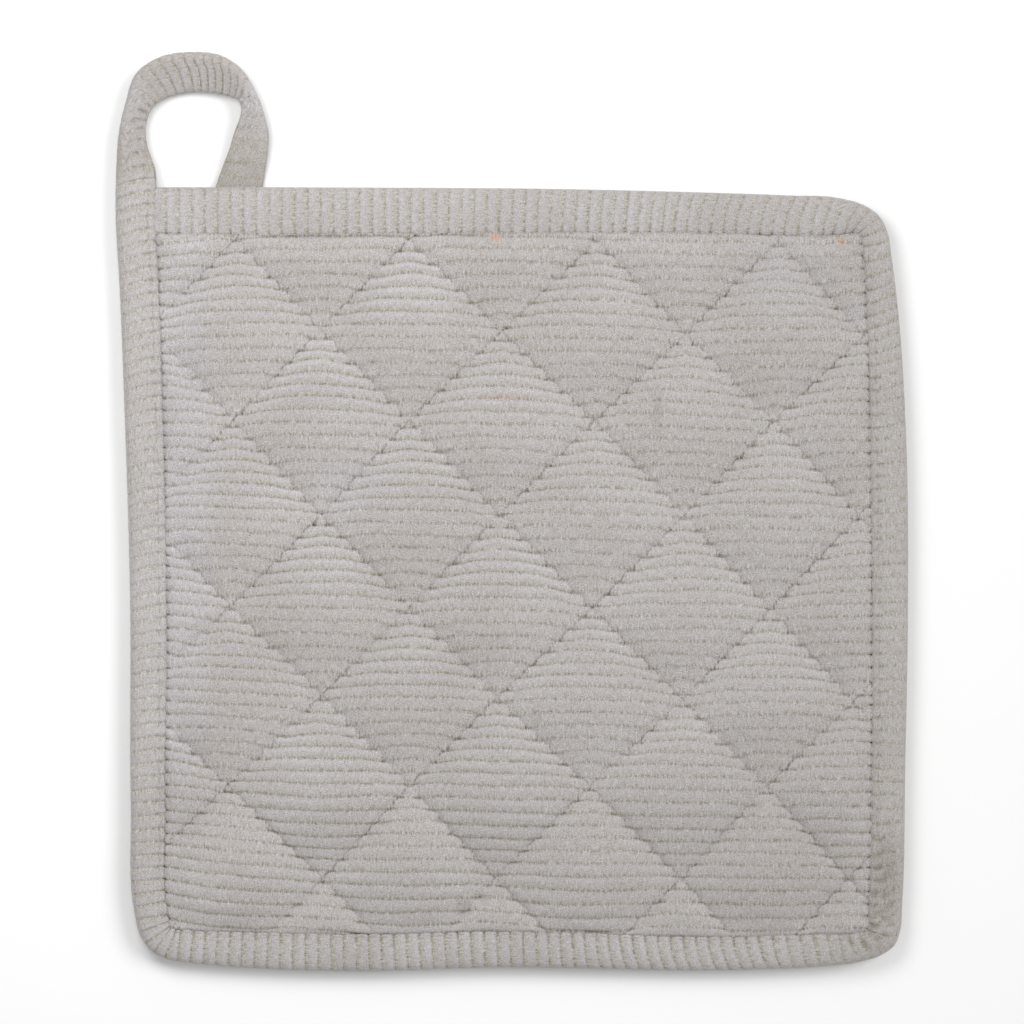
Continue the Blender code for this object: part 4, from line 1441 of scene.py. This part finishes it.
@dataclass(frozen=True)
class FoldedStrip:
    """The corduroy strip, folded in four: round the edge, and on as the loop."""

    edge: OuterEdge
    pitch: float = 3.285 * MM  # from a cord to the next along the strip
    start: float = -1.40 * MM  # where along the outer edge it begins
    start_top: float = 5.9 * MM  # where the binding starts it is tucked under its own end
    relief: float = 0.27 * MM  # height of a full cord above and below the cloth
    fold_height: float = 6.20 * MM  # height of the inner fold's top
    leg_rise: float = 0.68 * MM  # how much higher the top leg lies away from that fold
    leg_slope: float = 0.34  # how far out it has risen, as a share of the width
    seam_dent: float = 0.04 * MM  # depth of the seam for each millimetre it lies from the fold
    seam_width: float = 0.7  # how far past its stitches the seam reaches, in millimetres
    scallop: float = 0.26 * MM  # how far the cords' ends stand out along the inner fold
    gathered: float = 1.2  # how many more cords the loop has where it turns down
    hollow_shade: float = 2.2  # painted shade in a crumple's hollow, per millimetre of depth
    flat_width: float = 0.040  # width of the strip before it is folded

    def stations(self, count: int) -> Array:
        """Lists places across this many cords, in cords, from a valley to a valley."""
        return np.array([k + phase for k in range(count) for phase in CORD_PHASES] + [count], float)

    def local_normals(self, a: Array, b: Array) -> tuple[Array, Array]:
        """Gives the outward direction of the folded section at each of its lines.

        Args:
            a: how far in from the outer edge each line lies.
            b: how high it lies.

        Returns:
            The direction's parts along a and b.
        """
        run_a = np.roll(a, -1, axis=1) - np.roll(a, 1, axis=1)
        run_b = np.roll(b, -1, axis=1) - np.roll(b, 1, axis=1)
        length = np.hypot(run_a, run_b)
        return run_b / length, -run_a / length

    def section_reach(self, *axes: Array) -> Array:
        """Gives how far round the section each line lies, in metres."""
        steps = np.sqrt(sum(np.diff(axis, axis=1) ** 2 for axis in axes))
        return np.concatenate([np.zeros((len(steps), 1)), steps.cumsum(axis=1)], axis=1)

    def looks(self, distance: Array, places: Sequence[StripPlace]) -> Array:
        """Reads a table of the strip's looks.

        Args:
            distance: how far along the strip to read it.
            places: the table.

        Returns:
            A column of values for each of the table's fields after the first.
        """
        table = np.asarray(places, float)
        fields = [np.interp(distance / MM, table[:, 0], field) for field in table.T[1:]]
        return np.stack(fields)[:, :, None]

    def corded(self, cords: Array, relief: Array) -> Array:
        """Gives how far the cords stand above or below each of the section's lines."""
        return self.relief * relief * cord_shape(cords)[:, None] * np.array(FOLD_ROWS)[:, 6]

    def shaded(self, shade: Array, uneven: Array) -> Array:
        """Gives the pile's painted shade, more of it in the hollows of uneven cloth."""
        return shade + np.clip(self.hollow_shade * -uneven, 0, 0.5)

    def crumpled(self, crumple: Array, distance: Array, a: Array, width: Array) -> Array:
        """Gives how far the cloth lies above or below its place, in millimetres.

        Args:
            crumple: how uneven it is at each distance.
            distance: the distances along the strip.
            a: how far in from the outer edge each line lies.
            width: the strip's width at each distance.

        Returns:
            The heights, which fade towards the outer edge and are 0 on lines without cords.
        """
        fading = smooth_step((a / width - 0.15) / 0.4)
        uneven = crumple * Wander(41, 2.8 * MM).at(distance[:, None], a) * fading
        return uneven * (np.array(FOLD_ROWS)[:, 6] > 0.7)

    def edge_section(self, width: Array, stitch_inset: Array) -> tuple[Array, Array]:
        """Folds the strip round the edge, with its top leg drawn down along the seam.

        Args:
            width: the binding's width at each place along it.
            stitch_inset: from the inner fold to the stitches, in millimetres.

        Returns:
            How far in from the outer edge each of the section's lines lies, and how high.
        """
        rows = np.array(FOLD_ROWS)
        a = rows[:, 0] * width + rows[:, 1] * MM
        z = np.broadcast_to(rows[:, 2] * MM, a.shape).copy()
        insets = (stitch_inset * 0.5, stitch_inset, stitch_inset + self.seam_width)
        for row, inset in zip(SEAM_ROWS, insets):
            a[:, row] = (width - inset * MM)[:, 0]
            inward = np.clip((width[:, 0] - a[:, row]) / (self.leg_slope * width[:, 0]), 0, 1)
            z[:, row] = self.fold_height + self.leg_rise * (1 - (1 - inward) ** 2)
        z[:, SEAM_ROWS[1]] -= self.seam_dent * stitch_inset[:, 0]
        return a, z

    def edge_rings(self) -> tuple[Array, Array, Array]:
        """Lays the strip round the edge.

        Returns:
            The rings of points, and their cloth and pile attributes.
        """
        count = round((self.edge.length - self.start) / self.pitch)
        cords = self.stations(count)
        distance = self.start + cords * ((self.edge.length - self.start) / count)
        width = self.edge.at(distance)[:, 2:3]
        looks = self.looks(distance, STRIP_PLACES)
        relief, crisp, lean, stitch_inset, shade, crumple = looks
        a, z = self.edge_section(width, stitch_inset)
        begins = smooth_step((distance[:, None] - self.start) / (2.5 * MM))
        z = np.where(z > self.start_top, self.start_top + (z - self.start_top) * begins, z)
        reach = self.section_reach(a, z) / MM
        for row, share in FOLD_SCALLOP:
            stands = self.scallop * share * np.clip(1.2 * crisp[:, 0], 0.45, 1)
            a[:, row] += stands * cord_shape(cords)
        normal_a, normal_z = self.local_normals(a, z)
        varied = 1 + 0.15 * Wander(21, 20 * MM).at(distance, 0 * distance)
        uneven = self.crumpled(crumple, distance, a, width)
        height = self.corded(cords, relief) * varied[:, None] + uneven * MM
        slant = lean * width * (1 - (1 - np.clip(a / width, 0, 1)) ** 2)
        shifted = distance[:, None] + slant * smooth_step(distance[:, None] / (14 * MM))
        at = self.edge.at(shifted)
        moved_a = a + normal_a * height
        x = at[..., 0] + at[..., 3] * moved_a
        y = at[..., 1] + at[..., 4] * moved_a
        lower_leg = smooth_step((2.4 * MM - z) / (0.8 * MM))
        z = z + normal_z * height + over_tuck(x, y, left=-90, right=-50.5) * lower_leg
        seam = (a - a[:, SEAM_ROWS[1], None]) / MM
        seam = np.where(np.array(FOLD_ROWS)[:, 6] > 0, seam, 9.0)
        across = np.broadcast_to(cords[:, None], a.shape)
        cloth = np.stack([reach, across, self.shaded(shade, uneven)], axis=-1)
        pile = np.stack([crisp + 0 * reach, seam, 9 + 0 * reach], axis=-1)
        return np.stack([x, y, z], axis=-1), cloth, pile

    def loop_rings(self, last: Array) -> tuple[Array, Array, Array]:
        """Runs the strip on from the left side, round the loop and down to its tucked end.

        Args:
            last: the edge's last ring, which the loop's first one continues.

        Returns:
            The rings of points, and their cloth and pile attributes.
        """
        line = SmoothLine(LOOP_SECTIONS)
        gathering = smooth_step((line.along - 42 * MM) / (15 * MM))
        passed = line.along / self.pitch + self.gathered * gathering
        count = round(float(passed[-1]))
        cords = self.stations(count)
        travelled = np.interp(cords * passed[-1] / count, passed, line.along)
        rows = np.array(FOLD_ROWS)
        looks = self.looks(travelled, LOOP_PLACES)
        relief, crisp, lean, stitch_inset, shade, crumple = looks
        slant = lean * 8 * MM * (1 - (1 - rows[:, 3]) ** 2)
        at = line.at(travelled[:, None] + slant)
        outer, inner = at[..., [0, 1, 4]], at[..., [2, 3, 5]]
        radius = at[..., 6] / 2
        level = (outer - inner) * (1, 1, 0)
        level /= np.linalg.norm(level, axis=-1, keepdims=True)
        outer, inner = outer - level * radius[..., None], inner + level * radius[..., None]
        span = np.linalg.norm(outer - inner, axis=-1)
        width = span + 2 * radius
        across = (outer - inner) / span[..., None]
        up = np.cross(np.gradient((outer + inner) / 2, axis=0), across)
        up /= np.linalg.norm(up, axis=-1, keepdims=True)
        tip = outer + across * radius[..., None]
        a = rows[:, 3] * width + rows[:, 4] * radius
        b = rows[:, 5] * radius
        normal_a, normal_b = self.local_normals(a, b)
        uneven = self.crumpled(crumple, travelled, a, width)
        height = self.corded(cords, relief) + uneven * MM
        leaving = last[None] + np.array([0, 1, 0]) * travelled[:, None, None]
        own = smooth_step(travelled / (9 * MM))[:, None, None]
        rings = leaving * (1 - own) + (tip - across * a[..., None] + up * b[..., None]) * own
        reach = self.section_reach(*np.moveaxis(rings, -1, 0)) / MM
        stands = up * (normal_b * height)[..., None] - across * (normal_a * height)[..., None]
        rings = rings + stands * own
        place = np.broadcast_to(cords[:, None], a.shape)
        cloth = np.stack([reach, place, self.shaded(shade, uneven)], axis=-1)
        seam = (width - stitch_inset * MM - a) / MM
        seam = np.where((rows[:, 6] > 0) & (travelled[:, None] < 20 * MM), seam, 9.0)
        crisp = crisp * smooth_step((a / width) / 0.5)
        return rings, cloth, np.stack([crisp, seam, 9 + 0 * a], axis=-1)

    def skin(
        self, name: str, rings: Array, cloth: Array, pile: Array, finish: bpy.types.Material
    ) -> bpy.types.Object:
        """Closes rings into a piece.

        Args:
            name: the piece's name.
            rings: the rings of points along the strip.
            cloth: their place on the cloth.
            pile: how their pile lies.
            finish: the piece's material.

        Returns:
            The piece.
        """
        count, lines = rings.shape[:2]
        number = np.arange(count * lines).reshape(count, lines)
        following = np.roll(number, -1, axis=1)
        quads = np.stack([number[:-1], number[1:], following[1:], following[:-1]], axis=-1)
        faces = quads.reshape(-1, 4).tolist()
        faces += [tuple(number[0]), tuple(number[-1][::-1])]
        points = rings.reshape(-1, 3)
        piece = make_piece(name, points, faces, finish, cloth=cloth, pile=pile)
        for end in piece.data.polygons[-2:]:
            end.use_smooth = False
        return piece

    def make(self) -> tuple[bpy.types.Object, bpy.types.Object, list[Array]]:
        """Builds the binding and the loop.

        Returns:
            The binding, the loop, and the line of each one's seam.
        """
        finish = Cloth.STRIP.value.make()
        edge_rings, *edge_fields = self.edge_rings()
        loop_rings, *loop_fields = self.loop_rings(edge_rings[-1])
        binding = self.skin("edge_binding_cloth", edge_rings, *edge_fields, finish)
        loop = self.skin("hanging_loop_cloth", loop_rings, *loop_fields, finish)
        seam, sewn = SEAM_ROWS[1], len(loop_rings) * 3 // 4
        return binding, loop, [edge_rings[:, seam], loop_rings[:sewn, seam]]


@dataclass(frozen=True)
class Sewing:
    """Rows of stitches: short lengths of thread, each sunk at both ends."""

    length: float = 2.2 * MM  # of a stitch
    pitch: float = 3.0 * MM  # from a stitch to the next
    thick: float = 0.42 * MM
    sides: int = 6  # of the thread's outline
    rings: int = 5  # of points along a stitch

    def stitch(self, middle: Array, run: Array) -> tuple[Array, list]:
        """Shapes one stitch.

        Args:
            middle: its middle.
            run: the direction along the seam.

        Returns:
            Its points and faces.
        """
        run = run / np.linalg.norm(run)
        side = np.cross((0, 0, 1), run)
        side /= np.linalg.norm(side)
        up = np.cross(run, side)
        points, faces = [], []
        for i in range(self.rings):
            t = i / (self.rings - 1) * 2 - 1
            radius = self.thick / 2 * math.sqrt(max(0.12, 1 - t**4))
            centre = middle + run * t * self.length / 2 - up * self.thick * 0.9 * t * t
            for k in range(self.sides):
                turn = 2 * math.pi * k / self.sides
                points.append(centre + radius * (side * math.cos(turn) + up * math.sin(turn)))
        for i in range(self.rings - 1):
            for k in range(self.sides):
                a, b = i * self.sides + k, i * self.sides + (k + 1) % self.sides
                faces.append((a, b, b + self.sides, a + self.sides))
        faces.append(tuple(reversed(range(self.sides))))
        faces.append(tuple(range((self.rings - 1) * self.sides, self.rings * self.sides)))
        return np.array(points), faces

    def sew(
        self, name: str, lines: Sequence[Array], finish: bpy.types.Material
    ) -> bpy.types.Object:
        """Sews along lines.

        Args:
            name: the piece's name.
            lines: lists of points on the surface, one a seam.
            finish: the thread's material.

        Returns:
            The stitches as one piece.
        """
        points, faces, count = [], [], 0
        for line in lines:
            steps = np.linalg.norm(np.diff(line, axis=0), axis=1)
            along = np.concatenate([[0], steps.cumsum()])
            for middle in np.arange(self.pitch / 2, along[-1], self.pitch):
                here, before, after = (
                    np.array([np.interp(middle + step, along, column) for column in line.T])
                    for step in (0, -self.length / 2, self.length / 2)
                )
                own_points, own_faces = self.stitch(here, after - before)
                points.append(own_points)
                faces += [tuple(count + i for i in face) for face in own_faces]
                count += len(own_points)
        return make_piece(name, np.concatenate(points), faces, finish)


@dataclass(frozen=True)
class QuiltSewing:
    """The quilting's stitches, at the bottom of the creases between the diamonds."""

    edge: OuterEdge
    quilting: Quilting
    height: float = 5.05 * MM
    margin: float = 1.5 * MM  # how far inside the binding they stop
    step: float = 0.02  # from a traced point to the next, in rows of crossings
    first: int = -1  # row and column of crossings at which the seams begin
    last: int = 8  # row and column at which they end
    seams: range = range(-12, 14)  # more of them than cross the pad

    def lines(self) -> list[Array]:
        """Traces each seam across the pad, clear of the binding.

        Returns:
            The points of each seam.
        """
        found = []
        for slant in (1, -1):
            for seam in self.seams:
                row = np.arange(self.first, self.last + self.step / 2, self.step)
                column = 2 * seam - slant * row
                kept = (column > self.first) & (column < self.last)
                if kept.sum() < 3:
                    continue
                x, y = self.quilting.place(column[kept], row[kept])
                from_edge, nearest = self.edge.nearest(x, y)
                clear = from_edge - nearest[:, 2] > self.margin
                if clear.sum() > 3:
                    found.append(np.column_stack([x, y, 0 * x + self.height])[clear])
        return found


class Studio:
    """The floor, the light and the camera above the pot holder."""

    FRAME = 1024 * 0.255 * MM  # what the picture's width covers at the face
    CAMERA_HEIGHT = 1.3
    FACE_HEIGHT = 5 * MM
    SENSOR = 36.0  # the camera's, in millimetres
    FLOOR_SIDE = 6.0
    FLOOR_DROP = 0.2 * MM  # how far under the pot holder the floor lies
    FILL = 0.52  # strength of the even light from all round
    LAMPS = (  # name, place, width in metres, power in watts
        ("right", (1.85, 0.78, 2.26), 1.5, 39.3),
        ("above", (-0.15, 0.17, 0.38), 0.25, 0.90),
    )

    def floor(self) -> bpy.types.Object:
        """Lays a plain pale floor under the pot holder.

        Returns:
            The floor.
        """
        sides = ((-1, -1), (1, -1), (1, 1), (-1, 1))
        half = self.FLOOR_SIDE / 2
        corners = np.array([(half * x, half * y, -self.FLOOR_DROP) for x, y in sides])
        tree = ClothTree("pale_floor")
        tone = tree.noise(tree.place(), 3.0, 1.0).rising(0.2, 0.8)
        colour = tree.mix(tone, (0.90, 0.90, 0.90), (0.92, 0.92, 0.92))
        finish = tree.finished({"Base Color": colour, "Roughness": 0.9})
        return make_piece("floor", corners, [(0, 1, 2, 3)], finish)

    def light(self) -> None:
        """Sets a soft light high at the right, one close above the loop, and an even fill."""
        world = bpy.data.worlds.new("studio")
        bpy.context.scene.world = world
        world.use_nodes = True
        background = world.node_tree.nodes["Background"]
        background.inputs["Color"].default_value = (1.0, 1.0, 1.0, 1)
        background.inputs["Strength"].default_value = self.FILL
        for lamp in self.LAMPS:
            self.soft_lamp(*lamp)

    def soft_lamp(
        self, name: str, place: tuple[float, float, float], size: float, power: float
    ) -> None:
        """Hangs a round soft light that faces the pot holder.

        Args:
            name: the light's name.
            place: where it hangs.
            size: how wide it is, in metres.
            power: its power, in watts.
        """
        light = bpy.data.lights.new(name, "AREA")
        light.shape, light.size, light.energy = "DISK", size, power
        lamp = bpy.data.objects.new(name, light)
        lamp.location = place
        lamp.rotation_mode = "QUATERNION"
        lamp.rotation_quaternion = (-Vector(place)).to_track_quat("-Z", "Y")
        bpy.context.scene.collection.objects.link(lamp)

    def camera(self) -> None:
        """Hangs a long lens straight above, framed as the photograph is."""
        lens = bpy.data.cameras.new("above")
        lens.sensor_width = self.SENSOR
        lens.lens = self.SENSOR * self.CAMERA_HEIGHT / self.FRAME
        lens.clip_start, lens.clip_end = 0.05, 10.0
        camera = bpy.data.objects.new("above", lens)
        camera.location = (0, 0, self.CAMERA_HEIGHT + self.FACE_HEIGHT)
        bpy.context.scene.collection.objects.link(camera)
        bpy.context.scene.camera = camera
        bpy.context.scene.view_settings.view_transform = "Standard"


def report(piece: bpy.types.Object) -> None:
    """Logs a piece's size.

    Args:
        piece: the piece.
    """
    sides = " x ".join(f"{side / MM:.1f}" for side in piece.dimensions)
    LOG.info("%s: %d faces, %s mm", piece.name, len(piece.data.polygons), sides)


def main() -> None:
    """Builds the pot holder's pieces in order, and the studio round them."""
    logging.basicConfig(level=logging.INFO, format="%(message)s")
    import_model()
    edge, quilting = OuterEdge(), Quilting()

    pad = QuiltedPad(edge, quilting).make()
    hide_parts("quilted_pad")

    strip = FoldedStrip(edge)
    binding, loop, seam_lines = strip.make()
    thread = Thread().make()
    quilt_stitches = Sewing().sew("quilting_stitches", QuiltSewing(edge, quilting).lines(), thread)
    fine = Sewing(thick=0.28 * MM)
    binding_stitches = fine.sew("binding_stitches", seam_lines[:1], thread)
    loop_stitches = fine.sew("loop_stitches", seam_lines[1:], thread)
    for piece, node in ((binding, "edge_binding"), (loop, "hanging_loop")):
        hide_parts(node)

    for piece in (pad, binding, loop, quilt_stitches, binding_stitches, loop_stitches):
        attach(piece, "root")
        report(piece)

    studio = Studio()
    studio.floor()
    studio.light()
    studio.camera()
    bpy.context.view_layer.update()


if __name__ == "__main__":
    main()
